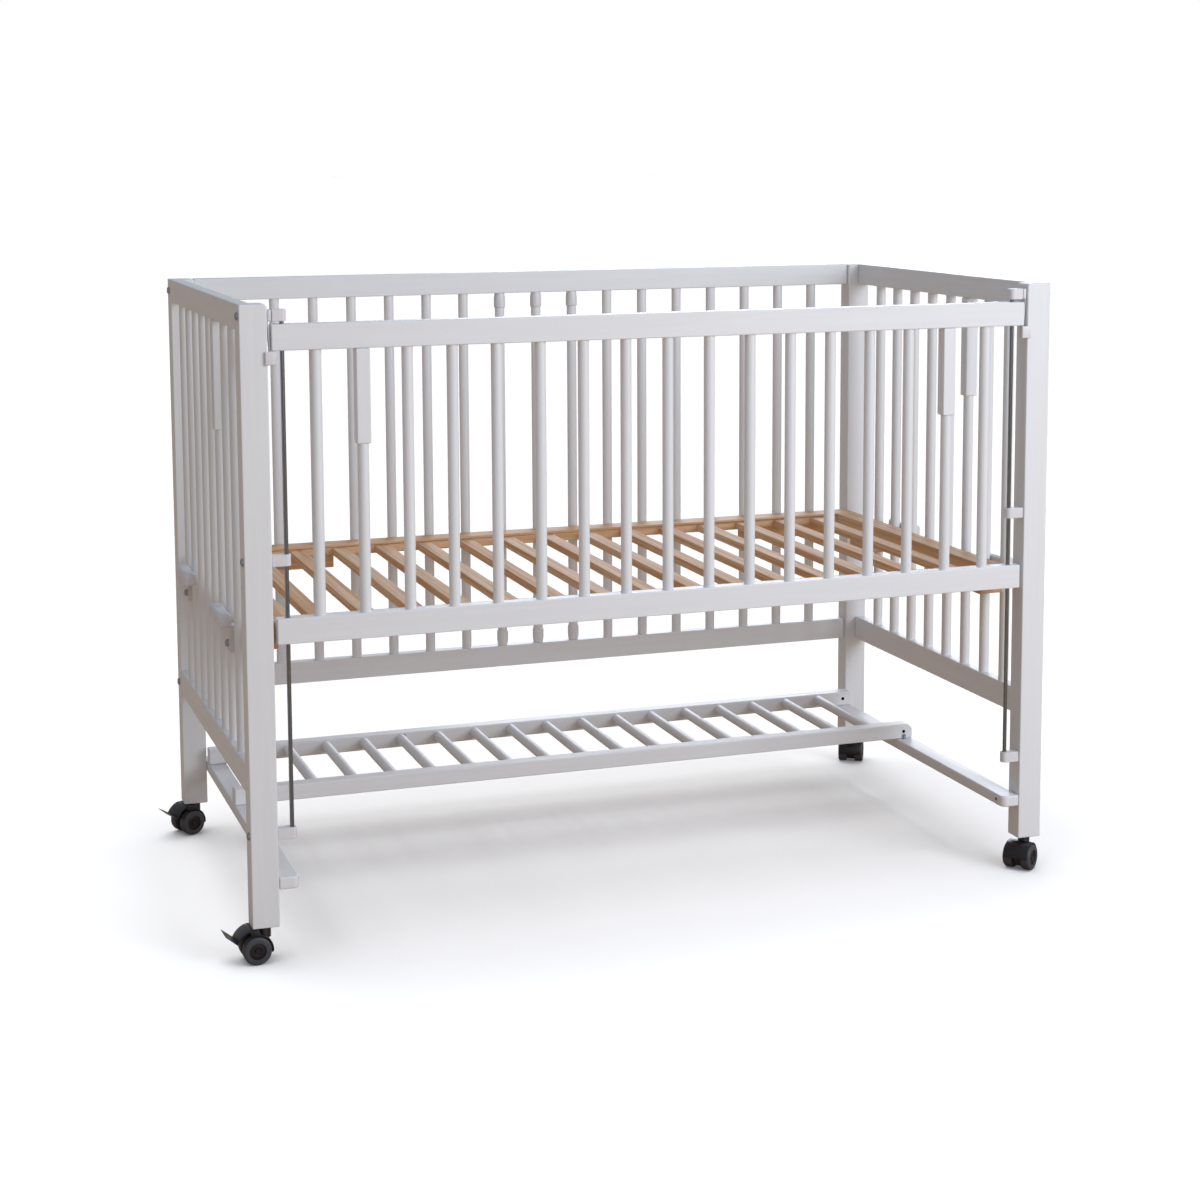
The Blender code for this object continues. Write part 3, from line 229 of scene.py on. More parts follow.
def lacquered_beech(name, grain):
    """White satin lacquer over beech whose grain runs along the axis numbered grain."""
    made, tree = new_material(name)
    place = add(tree, "ShaderNodeTexCoord").outputs["Object"]
    patterns = {
        "pores": (PORE_SPACING, PORE_LENGTH, 3.0),
        "streaks": (STREAK_SPACING, STREAK_LENGTH, 4.0),
        "peel": (ORANGE_PEEL, ORANGE_PEEL, 2.0),
    }
    noise = {}
    for pattern, (across, length, detail) in patterns.items():
        steps = {"Vector": place, "Scale": grain_scale(grain, across, length)}
        counted = add(tree, "ShaderNodeMapping", steps).outputs[0]
        blotches = {"Vector": counted, "Scale": 1.0, "Detail": detail}
        noise[pattern] = add(tree, "ShaderNodeTexNoise", blotches).outputs["Fac"]
    shade_range = {"Value": noise["streaks"], "From Min": 0.35, "From Max": 0.7}
    shade = add(tree, "ShaderNodeMapRange", shade_range).outputs[0]
    tones = {"Factor": shade, "A": colour(LACQUER_WHITE), "B": colour(LACQUER_SHADE)}
    tone = add(tree, "ShaderNodeMix", tones, data_type="RGBA").outputs["Result"]
    fleck_range = {"Value": noise["pores"], "From Min": 0.62, "From Max": 0.8, "To Max": 0.12}
    fleck = add(tree, "ShaderNodeMapRange", fleck_range).outputs[0]
    flecks = {"Factor": fleck, "A": tone, "B": colour(PORE_TINT)}
    flecked = add(tree, "ShaderNodeMix", flecks, data_type="RGBA").outputs["Result"]
    gloss_range = {
        "Value": noise["streaks"],
        "From Min": 0.3,
        "From Max": 0.7,
        "To Min": LACQUER_ROUGHNESS - 0.05,
        "To Max": LACQUER_ROUGHNESS + 0.08,
    }
    gloss = add(tree, "ShaderNodeMapRange", gloss_range).outputs[0]
    grain_relief = {"Height": noise["pores"], "Strength": 0.06, "Distance": 0.05 * MM}
    grain_bump = add(tree, "ShaderNodeBump", grain_relief).outputs[0]
    peel_relief = {
        "Height": noise["peel"],
        "Strength": 0.08,
        "Distance": 0.06 * MM,
        "Normal": grain_bump,
    }
    bump = add(tree, "ShaderNodeBump", peel_relief).outputs[0]
    lacquer = {
        "Base Color": flecked,
        "Roughness": gloss,
        "IOR": 1.5,
        "Coat Weight": 0.15,
        "Coat Roughness": 0.3,
        "Normal": bump,
    }
    surface = add(tree, "ShaderNodeBsdfPrincipled", lacquer)
    add(tree, "ShaderNodeOutputMaterial", {"Surface": surface.outputs[0]})
    return made


def bevel_edges(piece, chosen, offset, segments):
    """Rounds over the edges that chosen(one end, other end) picks."""
    deselect()
    bpy.context.view_layer.objects.active = piece
    piece.select_set(True)
    bpy.ops.object.mode_set(mode="EDIT")
    bpy.ops.mesh.select_mode(type="EDGE")
    bpy.ops.mesh.select_all(action="DESELECT")
    bpy.ops.object.mode_set(mode="OBJECT")
    for edge in piece.data.edges:
        edge.select = chosen(*(piece.data.vertices[i].co for i in edge.vertices))
    bpy.ops.object.mode_set(mode="EDIT")
    bpy.ops.mesh.bevel(offset=offset, segments=segments, affect="EDGES")
    bpy.ops.object.mode_set(mode="OBJECT")


def flat_faces(piece):
    """Shades the rounded edges smoothly and keeps the big planed faces flat."""
    bpy.ops.object.shade_smooth_by_angle(angle=math.radians(40))
    shading = piece.modifiers.new("flat_faces", "WEIGHTED_NORMAL")
    shading.keep_sharp = True
    shading.weight = 100
    bpy.ops.object.modifier_apply(modifier=shading.name)


def round_rest(piece, round_over, segments, sharpest):
    """Rounds over every edge that turns by more than an angle."""
    deselect()
    bpy.context.view_layer.objects.active = piece
    piece.select_set(True)
    edges = piece.modifiers.new("edges", "BEVEL")
    edges.width = round_over
    edges.segments = segments
    edges.limit_method = "ANGLE"
    edges.angle_limit = math.radians(sharpest)
    bpy.ops.object.modifier_apply(modifier=edges.name)


def along(axis, **places):
    """Picks the edges that run along an axis at the given places on the other axes."""

    def chosen(start, end):
        ways = [abs(start[i] - end[i]) < SAME_LINE for i in range(3)]
        here = all(abs(start["xyz".index(k)] - v) < SAME_PLACE for k, v in places.items())
        return not ways["xyz".index(axis)] and sum(ways) == 2 and here

    return chosen


def board(name, low, high, round_over, corners=()):
    """A planed board between two corners: chosen corners are rounded more, and then all its edges."""
    deselect()
    low, high = Vector(low), Vector(high)
    bpy.ops.mesh.primitive_cube_add(size=1, location=(low + high) / 2)
    made = bpy.context.object
    made.name = name
    made.scale = high - low
    bpy.ops.object.transform_apply(location=True, rotation=True, scale=True)
    for chosen, offset, steps in corners:
        bevel_edges(made, chosen, offset, steps)
    round_rest(made, round_over, EDGE_STEPS, 40)
    flat_faces(made)
    return made


def fit(piece, material, body, finish_slot, *nodes):
    """Gives a piece its material, the body that it moves with and the CAD nodes that it stands for."""
    piece.data.materials.clear()
    piece.data.materials.append(material)
    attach(piece, body)
    if nodes:
        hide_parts(*nodes)


white = [lacquered_beech("lacquered_beech_grain_" + axis, number) for number, axis in enumerate("xyz")]
WOOD_SLOT = "white_lacquered_beech"
corners = ["front_left", "front_right", "back_left", "back_right"]
for corner in corners:
    low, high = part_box("post_" + corner)
    inner_x = high[0] if low[0] < 0 else low[0]
    top_corner = along("y", x=inner_x, z=high[2]), POST_TOP_ROUND, 6
    post = board(corner + "_post", low, high, POST_ROUND, corners=[top_corner])
    fit(post, white[2], "frame", WOOD_SLOT, "post_" + corner)

# The joint bolts: zinc-plated furniture bolts through the posts, each a flat domed head with a hexagon
# socket. Three on each front post hold the rod fittings, two on each back post hold the back panel.

BOLT_HEAD_RADIUS = 5.5 * MM
BOLT_HEAD_HEIGHT = 3.0 * MM
BOLT_RADIUS = 3.0 * MM
SOCKET_RADIUS = 2.3 * MM
SOCKET_SIDES = 6
PLATING_MOTTLE = 1.5 * MM
ROUND_SIDES = 32


def turned(name, at, up, profile, sides=48):
    """A disc extruded and scaled through (radius, height) points, then stood at a place."""
    deselect()
    radius, height = profile[0]
    disc = {"vertices": sides, "radius": radius, "fill_type": "NGON", "location": (0, 0, height)}
    bpy.ops.mesh.primitive_circle_add(**disc)
    made = bpy.context.object
    made.name = name
    bpy.ops.object.transform_apply(location=True, rotation=True, scale=True)
    bpy.ops.object.mode_set(mode="EDIT")
    bpy.ops.mesh.select_all(action="SELECT")
    for (radius, height), (next_radius, next_height) in zip(profile, profile[1:]):
        rise = {"value": (0, 0, next_height - height)}
        bpy.ops.mesh.extrude_region_move(TRANSFORM_OT_translate=rise)
        ratio = next_radius / radius
        bpy.ops.transform.resize(value=(ratio, ratio, 1), center_override=(0, 0, next_height))
    bpy.ops.mesh.select_all(action="SELECT")
    bpy.ops.mesh.normals_make_consistent(inside=False)
    bpy.ops.object.mode_set(mode="OBJECT")
    upright = Vector(up).to_track_quat("Z", "Y").to_matrix().to_4x4()
    made.matrix_world = Matrix.Translation(at) @ upright
    bpy.ops.object.transform_apply(location=True, rotation=True, scale=True)
    bpy.ops.object.shade_smooth_by_angle(angle=math.radians(35))
    return made


def cut(piece, cutter):
    """Takes the cutter's shape out of the piece, and removes the cutter."""
    deselect()
    bpy.context.view_layer.objects.active = piece
    piece.select_set(True)
    hole = piece.modifiers.new("hole", "BOOLEAN")
    hole.operation = "DIFFERENCE"
    hole.solver = "EXACT"
    hole.object = cutter
    bpy.ops.object.modifier_apply(modifier=hole.name)
    bpy.data.objects.remove(cutter, do_unlink=True)
    flat_faces(piece)


def bore(piece, middle, turn, radius, length, sides):
    """A round or six-sided hole through or into a piece, upright unless it is turned."""
    deselect()
    shape = {"vertices": sides, "radius": radius, "depth": length}
    bpy.ops.mesh.primitive_cylinder_add(**shape, location=middle, rotation=turn)
    cut(piece, bpy.context.object)


def zinc_plate(name, tone, dark, roughness):
    """Bright zinc on steel: a cool metal with a fine cloudy mottle."""
    made, tree = new_material(name)
    place = add(tree, "ShaderNodeTexCoord").outputs["Object"]
    steps = {"Vector": place, "Scale": grain_scale(2, PLATING_MOTTLE, 6 * PLATING_MOTTLE)}
    counted = add(tree, "ShaderNodeMapping", steps).outputs[0]
    mottle = {"Vector": counted, "Scale": 1.0, "Detail": 4.0}
    cloud = add(tree, "ShaderNodeTexNoise", mottle).outputs["Fac"]
    tones = {"Factor": cloud, "A": colour(tone), "B": colour(dark)}
    tone_mix = add(tree, "ShaderNodeMix", tones, data_type="RGBA").outputs["Result"]
    gloss_range = {"Value": cloud, "To Min": roughness - 0.07, "To Max": roughness + 0.1}
    gloss = add(tree, "ShaderNodeMapRange", gloss_range).outputs[0]
    plating = {"Base Color": tone_mix, "Metallic": 1.0, "Roughness": gloss}
    surface = add(tree, "ShaderNodeBsdfPrincipled", plating)
    add(tree, "ShaderNodeOutputMaterial", {"Surface": surface.outputs[0]})
    return made


zinc = zinc_plate("bright_zinc_plate", "#B9BEC6", "#8B9099", 0.3)


def bolt(name, node, body, head_radius=BOLT_HEAD_RADIUS, head_height=BOLT_HEAD_HEIGHT):
    """A domed bolt in the place of its CAD node, which lies along X with its head outwards."""
    low, high = (Vector(corner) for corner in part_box(node))
    outwards = 1 if low.x + high.x > 2 * crib_middle.x else -1
    face_x = (high.x if outwards > 0 else low.x) - outwards * head_height
    middle = Vector((face_x, (low.y + high.y) / 2, (low.z + high.z) / 2))
    length = high.x - low.x - head_height
    profile = [
        (BOLT_RADIUS - 0.5 * MM, -length),
        (BOLT_RADIUS, -length + 0.5 * MM),
        (BOLT_RADIUS, 0),
        (head_radius, 0),
        (head_radius, head_height * 0.45),
        (head_radius * 0.93, head_height * 0.75),
        (head_radius * 0.74, head_height * 0.97),
        (head_radius * 0.5, head_height),
    ]
    made = turned(name, middle, (outwards, 0, 0), profile, ROUND_SIDES)
    socket_at = middle + Vector((outwards * head_height, 0, 0))
    bore(made, socket_at, (0, math.pi / 2, 0), SOCKET_RADIUS, head_height, SOCKET_SIDES)
    fit(made, zinc, body, "zinc_plated_steel", node)


for side in ("left", "right"):
    for level in ("top", "middle", "low"):
        bolt(f"front_{side}_{level}_bolt", f"fitting_bolt_{level}_{side}", "frame")
    for level in ("top", "low"):
        bolt(f"back_{side}_{level}_bolt", f"back_bolt_{level}_{side}", "frame")

# The end panels: a top and a bottom rail with eight turned bars glued between them, all lacquered
# beech. A rail is 20 mm thick and its edges are rounded, and a bar is 16 mm across.

RAIL_ROUND = 1.6 * MM
BAR_RADIUS = 8 * MM
BAR_PITCH = 64.3 * MM
TENON = 10 * MM
END_BARS = 8
ROW_SIDES = 40
LONG_BARS = 17
RAIL_HEIGHT = 36 * MM
END_LOW_RAIL = 40 * MM


def repeat(piece, count, step):
    """Copies a piece along a row, inside its own mesh."""
    row = piece.modifiers.new("row", "ARRAY")
    row.count = count
    row.use_relative_offset = False
    row.use_constant_offset = True
    row.constant_offset_displace = step
    bpy.ops.object.modifier_apply(modifier=row.name)


def bar_row(name, first, top_z, count, step):
    """A row of turned bars, each standing from first up to top_z."""
    length = top_z - first[2]
    bars = turned(name, first, (0, 0, 1), [(BAR_RADIUS, 0), (BAR_RADIUS, length)], ROW_SIDES)
    repeat(bars, count, step)
    return bars


for side in ("left", "right"):
    low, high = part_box("end_panel_" + side)
    x = (low[0] + high[0]) / 2
    top_low = (low[0], low[1], high[2] - RAIL_HEIGHT)
    top_rail = board(f"{side}_end_top_rail", top_low, high, RAIL_ROUND)
    fit(top_rail, white[1], "frame", WOOD_SLOT, "end_panel_" + side)
    low_top = (high[0], high[1], low[2] + END_LOW_RAIL)
    low_rail = board(f"{side}_end_bottom_rail", low, low_top, RAIL_ROUND)
    fit(low_rail, white[1], "frame", WOOD_SLOT)
    first_y = (low[1] + high[1]) / 2 - BAR_PITCH * (END_BARS - 1) / 2
    first = (x, first_y, low[2] + END_LOW_RAIL - TENON)
    bars_top = high[2] - RAIL_HEIGHT + TENON
    bars = bar_row(f"{side}_end_bars", first, bars_top, END_BARS, (0, BAR_PITCH, 0))
    fit(bars, white[2], "frame", WOOD_SLOT)

# The back panel: two rails with fourteen fixed bars, and in the middle three caps of white plastic under
# the top rail. Each cap holds a spring and the top of a slip rung.

CAP_RADIUS = 9.5 * MM
CAP_MOUTH_RADIUS = 8.2 * MM
CAP_LENGTH = 25 * MM
CAP_TAPER = 8 * MM
CAP_EDGE = 0.8 * MM
CAP_BORE = 8.3 * MM
CAP_BORE_DEPTH = 16.5 * MM
PLASTIC_GRIT = 0.9 * MM  # real moulded texture is finer, drawn coarse enough to show
PLASTIC_CLOUD = 14 * MM


def moulded_nylon(name, light, dark, roughness, grit_depth):
    """Injection-moulded plastic: even colour with a faint cloud, and a fine pebbled skin."""
    made, tree = new_material(name)
    place = add(tree, "ShaderNodeTexCoord").outputs["Object"]
    noise = {}
    for pattern, size in (("cloud", PLASTIC_CLOUD), ("grit", PLASTIC_GRIT)):
        steps = {"Vector": place, "Scale": grain_scale(2, size, size)}
        counted = add(tree, "ShaderNodeMapping", steps).outputs[0]
        blotches = {"Vector": counted, "Scale": 1.0, "Detail": 2.0}
        noise[pattern] = add(tree, "ShaderNodeTexNoise", blotches).outputs["Fac"]
    tones = {"Factor": noise["cloud"], "A": colour(light), "B": colour(dark)}
    tone = add(tree, "ShaderNodeMix", tones, data_type="RGBA").outputs["Result"]
    gloss_range = {"Value": noise["cloud"], "To Min": roughness - 0.05, "To Max": roughness + 0.07}
    gloss = add(tree, "ShaderNodeMapRange", gloss_range).outputs[0]
    relief = {"Height": noise["grit"], "Strength": 0.2, "Distance": grit_depth}
    bump = add(tree, "ShaderNodeBump", relief).outputs[0]
    plastic = {"Base Color": tone, "Roughness": gloss, "IOR": 1.53, "Normal": bump}
    surface = add(tree, "ShaderNodeBsdfPrincipled", plastic)
    add(tree, "ShaderNodeOutputMaterial", {"Surface": surface.outputs[0]})
    return made


white_nylon = moulded_nylon("moulded_white_nylon", "#E2E2E5", "#D6D6D9", 0.4, 0.04 * MM)
low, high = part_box("back_panel")
BACK_THICKNESS = 20 * MM
back_y = high[1] - BACK_THICKNESS / 2
panel_middle = (low[0] + high[0]) / 2
back_low_top = low[2] + RAIL_HEIGHT
back_top_low = high[2] - RAIL_HEIGHT
rail_front = back_y - BACK_THICKNESS / 2
top_rail = board("back_top_rail", (low[0], rail_front, back_top_low), high, RAIL_ROUND)
fit(top_rail, white[0], "frame", WOOD_SLOT, "back_panel")
low_rail_low = (low[0], rail_front, low[2])
low_rail_high = (high[0], high[1], back_low_top)
low_rail = board("back_bottom_rail", low_rail_low, low_rail_high, RAIL_ROUND)
fit(low_rail, white[0], "frame", WOOD_SLOT)
first_x = panel_middle - BAR_PITCH * (LONG_BARS - 1) / 2
SLIP_RUNGS = 3
fixed_each_side = (LONG_BARS - SLIP_RUNGS) // 2
for side, start in (("left", 0), ("right", fixed_each_side + SLIP_RUNGS)):
    first = (first_x + start * BAR_PITCH, back_y, back_low_top - TENON)
    bars_top = back_top_low + TENON
    bars = bar_row(f"back_bars_{side}", first, bars_top, fixed_each_side, (BAR_PITCH, 0, 0))
    fit(bars, white[2], "frame", WOOD_SLOT)
for number in range(1, SLIP_RUNGS + 1):
    x = panel_middle + (number - (SLIP_RUNGS + 1) / 2) * BAR_PITCH
    profile = [
        (CAP_BORE, CAP_BORE_DEPTH),
        (CAP_BORE, 0.3 * MM),
        (CAP_BORE + 0.3 * MM, 0),
        (CAP_RADIUS - CAP_EDGE, 0),
        (CAP_RADIUS, CAP_EDGE),
        (CAP_RADIUS, CAP_LENGTH - CAP_TAPER - CAP_EDGE),
        (CAP_RADIUS - CAP_EDGE / 3, CAP_LENGTH - CAP_TAPER + CAP_EDGE),
        (CAP_MOUTH_RADIUS, CAP_LENGTH),
        (CAP_MOUTH_RADIUS, CAP_LENGTH + 1 * MM),
    ]
    mouth = (x, back_y, back_top_low - CAP_LENGTH)
    cap = turned(f"slip_cap_{number}", mouth, (0, 0, 1), profile)
    fit(cap, white_nylon, "frame", WOOD_SLOT)

# The slip rungs: three turned beech rungs that lift into their sprung caps and come out, so that a child
# can climb out. Each stands in the bottom rail on a collar with a spigot. Their springs stay as they are.

SPIGOT_RADIUS = 5 * MM
SPIGOT_LENGTH = 7 * MM
for number in range(1, SLIP_RUNGS + 1):
    low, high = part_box(f"slip_rung_{number}")
    x = panel_middle + (number - (SLIP_RUNGS + 1) / 2) * BAR_PITCH
    length = high[2] - low[2] - SPIGOT_LENGTH
    profile = [
        (SPIGOT_RADIUS, -SPIGOT_LENGTH),
        (SPIGOT_RADIUS, 0),
        (CAP_MOUTH_RADIUS, 0),
        (CAP_RADIUS - CAP_EDGE / 3, CAP_TAPER - CAP_EDGE),
        (CAP_RADIUS, CAP_TAPER + CAP_EDGE),
        (CAP_RADIUS, CAP_LENGTH - CAP_EDGE),
        (CAP_RADIUS - CAP_EDGE, CAP_LENGTH),
        (BAR_RADIUS, CAP_LENGTH),
        (BAR_RADIUS, length),
    ]
    shoulder = (x, back_y, low[2] + SPIGOT_LENGTH)
    rung = turned(f"slip_rung_{number}_turned", shoulder, (0, 0, 1), profile)
    fit(rung, white[2], f"slip_rung_{number}", WOOD_SLOT, f"slip_rung_{number}")
    spring = frame["nodes"][f"slip_spring_{number}"]
    spring.data.materials.clear()
    spring.data.materials.append(zinc)

# The drop side: two rails and seventeen bars, which slides on the guide rods. Each rail is bored near its
# ends for the rods, with a small clearance.

ROD_HOLE_RADIUS = 4 * MM
ROD_HOLE_LENGTH = 2  # passes through both rails
low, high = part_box("drop_side")
drop_y = (low[1] + high[1]) / 2
rod_x = {}
for side in ("left", "right"):
    rod_low, rod_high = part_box("guide_rod_" + side)
    rod_x[side] = (rod_low[0] + rod_high[0]) / 2
drop_top_low = high[2] - RAIL_HEIGHT
drop_low_top = low[2] + RAIL_HEIGHT
top_rail = board("drop_side_top_rail", (low[0], low[1], drop_top_low), high, RAIL_ROUND)
low_rail_high = (high[0], high[1], drop_low_top)
low_rail = board("drop_side_bottom_rail", low, low_rail_high, RAIL_ROUND)
for rail in (top_rail, low_rail):
    for side in ("left", "right"):
        rod_line = (rod_x[side], drop_y, 0)
        bore(rail, rod_line, (0, 0, 0), ROD_HOLE_RADIUS, ROD_HOLE_LENGTH, ROUND_SIDES)
fit(top_rail, white[0], "drop_side", WOOD_SLOT, "drop_side")
fit(low_rail, white[0], "drop_side", WOOD_SLOT)
first = (panel_middle - BAR_PITCH * (LONG_BARS - 1) / 2, drop_y, drop_low_top - TENON)
bars_top = drop_top_low + TENON
bars = bar_row("drop_side_bars", first, bars_top, LONG_BARS, (BAR_PITCH, 0, 0))
fit(bars, white[2], "drop_side", WOOD_SLOT)

# The square sleeves: lacquered blocks slid over four of the bars and glued under the top rail, one near
# each end of the drop side and one on each end panel.

SLEEVE_ROUND = 1.8 * MM
for kind, body in (("drop", "drop_side"), ("end", "frame")):
    for side in ("left", "right"):
        node = f"{kind}_sleeve_{side}"
        low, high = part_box(node)
        sleeve = board(f"{kind}_square_sleeve_{side}", low, high, SLEEVE_ROUND)
        fit(sleeve, white[2], body, WOOD_SLOT, node)

# The guide rods: 6 mm bright drawn steel, cut square with broken edges. They mirror the room, so they
# look dark and bluish with a bright line.

ROD_EDGE = 0.5 * MM
drawn_steel = zinc_plate("bright_drawn_steel", "#959DA7", "#666F7A", 0.2)
for side in ("left", "right"):
    low, high = (Vector(corner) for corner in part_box("guide_rod_" + side))
    radius = (high.y - low.y) / 2
    length = high.z - low.z
    profile = [
        (radius - ROD_EDGE, 0),
        (radius, ROD_EDGE),
        (radius, length - ROD_EDGE),
        (radius - ROD_EDGE, length),
    ]
    foot = (rod_x[side], drop_y, low.z)
    rod = turned(f"{side}_guide_rod", foot, (0, 0, 1), profile, ROUND_SIDES)
    fit(rod, drawn_steel, "frame", "zinc_plated_steel", "guide_rod_" + side)

# The rod fittings: moulded white plastic, a bracket at the top and bottom of each rod and a clip at its
# middle. The end away from the post is rounded round the rod.

FITTING_NOSE = 6.5 * MM
FITTING_EDGE = 1.0 * MM
NOSE_STEPS = 8
ROD_RADIUS = 3 * MM
ROD_CLEARANCE = 0.4 * MM
CLIP_BORE = 60 * MM  # runs right through the clip
SOCKET_BORE = 18 * MM  # half of it is in the bracket
for side, nose in (("left", 1), ("right", -1)):
    for kind in ("top_bracket", "middle_clip", "bottom_bracket"):
        low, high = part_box(f"{kind}_{side}")
        nose_x = high[0] if nose > 0 else low[0]
        noses = [(along("z", x=nose_x), FITTING_NOSE, NOSE_STEPS)]
        fitting = board(f"{side}_{kind}", low, high, FITTING_EDGE, corners=noses)
        seat_z = {
            "top_bracket": low[2],
            "middle_clip": (low[2] + high[2]) / 2,
            "bottom_bracket": high[2],
        }[kind]
        length = CLIP_BORE if kind == "middle_clip" else SOCKET_BORE
        seat = (rod_x[side], drop_y, seat_z)
        bore(fitting, seat, (0, 0, 0), ROD_RADIUS + ROD_CLEARANCE, length, ROUND_SIDES)
        fit(fitting, white_nylon, "frame", "white_nylon", f"{kind}_{side}")

# The latches: one springy moulding each, with an eye round the top bolt, a thin strip down the gap beside
# the drop side and a thumb tab in front of the post.

LATCH_ROUND = 0.7 * MM
SAME_CORNER = 0.02 * MM
FLAT_ENOUGH = math.radians(2)


def rounded_copy(name, node, round_over, segments=2):
    """A moulding made from its CAD node: the triangles are merged and every corner is rounded."""
    deselect()
    mesh = frame["nodes"][node].data.copy()
    made = bpy.data.objects.new(name, mesh)
    bpy.context.scene.collection.objects.link(made)
    made.select_set(True)
    bpy.context.view_layer.objects.active = made
    bpy.ops.object.mode_set(mode="EDIT")
    bpy.ops.mesh.select_all(action="SELECT")
    bpy.ops.mesh.remove_doubles(threshold=SAME_CORNER)
    bpy.ops.mesh.dissolve_limited(angle_limit=FLAT_ENOUGH)
    bpy.ops.object.mode_set(mode="OBJECT")
    round_rest(made, round_over, segments, 35)
    bpy.ops.object.shade_smooth_by_angle(angle=math.radians(40))
    return made


for side in ("left", "right"):
    latch = rounded_copy(f"{side}_latch_moulding", "latch_" + side, LATCH_ROUND)
    fit(latch, white_nylon, "latch_" + side, "white_nylon", "latch_" + side)

# The slatted base: bare sanded pine. Two long rails and two end rails frame fifteen slats, and a groove
# runs along each long rail's inner face. Cleats thicken the corners and blocks stand against the end bars.

PINE_LIGHT = "#E3C29E"
PINE_DARK = "#CC9A6B"
PINE_RESIN = "#A0623A"
RING_SPACING = 5.5 * MM
RING_WANDER = 420 * MM
FIBRE_SPACING = 0.7 * MM
FIBRE_LENGTH = 22 * MM
BOARD_SPREAD = 70 * MM
BOARD_LENGTH = 900 * MM
BASE_ROUND = 1.5 * MM


def bare_pine(name, grain):
    """Sanded pine: rings as long wandering bands, fine fibres, and each board a little different."""
    made, tree = new_material(name)
    place = add(tree, "ShaderNodeTexCoord").outputs["Object"]
    patterns = {
        "rings": (RING_SPACING, RING_WANDER, {"Detail": 2.0, "Distortion": 0.3}),
        "fibres": (FIBRE_SPACING, FIBRE_LENGTH, {"Detail": 2.0}),
        "boards": (BOARD_SPREAD, BOARD_LENGTH, {"Detail": 1.0}),
    }
    noise = {}
    for pattern, (across, length, settings) in patterns.items():
        steps = {"Vector": place, "Scale": grain_scale(grain, across, length)}
        counted = add(tree, "ShaderNodeMapping", steps).outputs[0]
        blotches = {"Vector": counted, "Scale": 1.0, **settings}
        noise[pattern] = add(tree, "ShaderNodeTexNoise", blotches).outputs["Fac"]
    band_range = {"Value": noise["rings"], "From Min": 0.42, "From Max": 0.62}
    band = add(tree, "ShaderNodeMapRange", band_range).outputs[0]
    bands = {"Factor": band, "A": colour(PINE_LIGHT), "B": colour(PINE_DARK)}
    wood = add(tree, "ShaderNodeMix", bands, data_type="RGBA").outputs["Result"]
    fleck_range = {"Value": noise["fibres"], "From Min": 0.5, "From Max": 0.75, "To Max": 0.3}
    fleck = add(tree, "ShaderNodeMapRange", fleck_range).outputs[0]
    flecks = {"Factor": fleck, "A": wood, "B": colour(PINE_RESIN)}
    grainy = add(tree, "ShaderNodeMix", flecks, data_type="RGBA").outputs["Result"]
    age_range = {"Value": noise["boards"], "From Min": 0.35, "From Max": 0.65, "To Max": 0.45}
    age = add(tree, "ShaderNodeMapRange", age_range).outputs[0]
    ages = {"Factor": age, "A": grainy, "B": colour(PINE_DARK)}
    aged = add(tree, "ShaderNodeMix", ages, data_type="RGBA").outputs["Result"]
    relief = {"Height": noise["fibres"], "Strength": 0.25, "Distance": 0.08 * MM}
    bump = add(tree, "ShaderNodeBump", relief).outputs[0]
    sanded = {"Base Color": aged, "Roughness": 0.62, "IOR": 1.45, "Normal": bump}
    surface = add(tree, "ShaderNodeBsdfPrincipled", sanded)
    add(tree, "ShaderNodeOutputMaterial", {"Surface": surface.outputs[0]})
    return made


pine = [bare_pine("bare_pine_grain_x", 0), bare_pine("bare_pine_grain_y", 1)]
PINE_SLOT = "bare_pine"
# The CAD base also holds the clamp blocks, which hang lowest and stand out at the ends.
low, high = (Vector(corner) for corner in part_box("slatted_base"))
BASE_HEIGHT = 18 * MM
BASE_RAIL = 40 * MM
END_RAIL = 34 * MM
BASE_POST_GAP = 2.5 * MM
SLAT_BELOW = 5 * MM
SLAT_WIDTH = 24 * MM
SLAT_THICKNESS = 12 * MM
SLAT_PITCH = 72 * MM
SLATS = 15
GROOVE_HEIGHT = 1.6 * MM
GROOVE_DEPTH = 4 * MM
base_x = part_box("post_front_right")[0][0] - BASE_POST_GAP
base_left, base_right = 2 * panel_middle - base_x, base_x
base_floor = high.z - BASE_HEIGHT
front = ("front", low.y, low.y + BASE_RAIL, 1)
back = ("back", high.y - BASE_RAIL, high.y, -1)
for name, y_low, y_high, inwards in (front, back):
    rail_high = (base_right, y_high, high.z)
    rail = board(f"base_{name}_rail", (base_left, y_low, base_floor), rail_high, BASE_ROUND)
    inner = y_high if inwards > 0 else y_low
    deselect()
    groove_at = (panel_middle, inner, high.z - SLAT_BELOW + GROOVE_HEIGHT / 2)
    bpy.ops.mesh.primitive_cube_add(size=1, location=groove_at)
    groove = bpy.context.object
    groove.scale = (base_right - base_left - 2 * END_RAIL, 2 * GROOVE_DEPTH, GROOVE_HEIGHT)
    bpy.ops.object.transform_apply(location=True, rotation=True, scale=True)
    cut(rail, groove)
    nodes = ["slatted_base"] if name == "front" else []
    fit(rail, pine[0], "slatted_base", PINE_SLOT, *nodes)
y_low, y_high = low.y + BASE_RAIL, high.y - BASE_RAIL
BUTT = 0.1 * MM  # the hairline where two boards meet
for name, x_low in (("left", base_left), ("right", base_right - END_RAIL)):
    rail_low = (x_low, y_low + BUTT, base_floor)
    rail_high = (x_low + END_RAIL, y_high - BUTT, high.z)
    rail = board(f"base_{name}_end_rail", rail_low, rail_high, BASE_ROUND)
    fit(rail, pine[1], "slatted_base", PINE_SLOT)
SLAT_ROUND = 1.6 * MM
SLAT_TENON = 2 * MM
slat_top = high.z - SLAT_BELOW
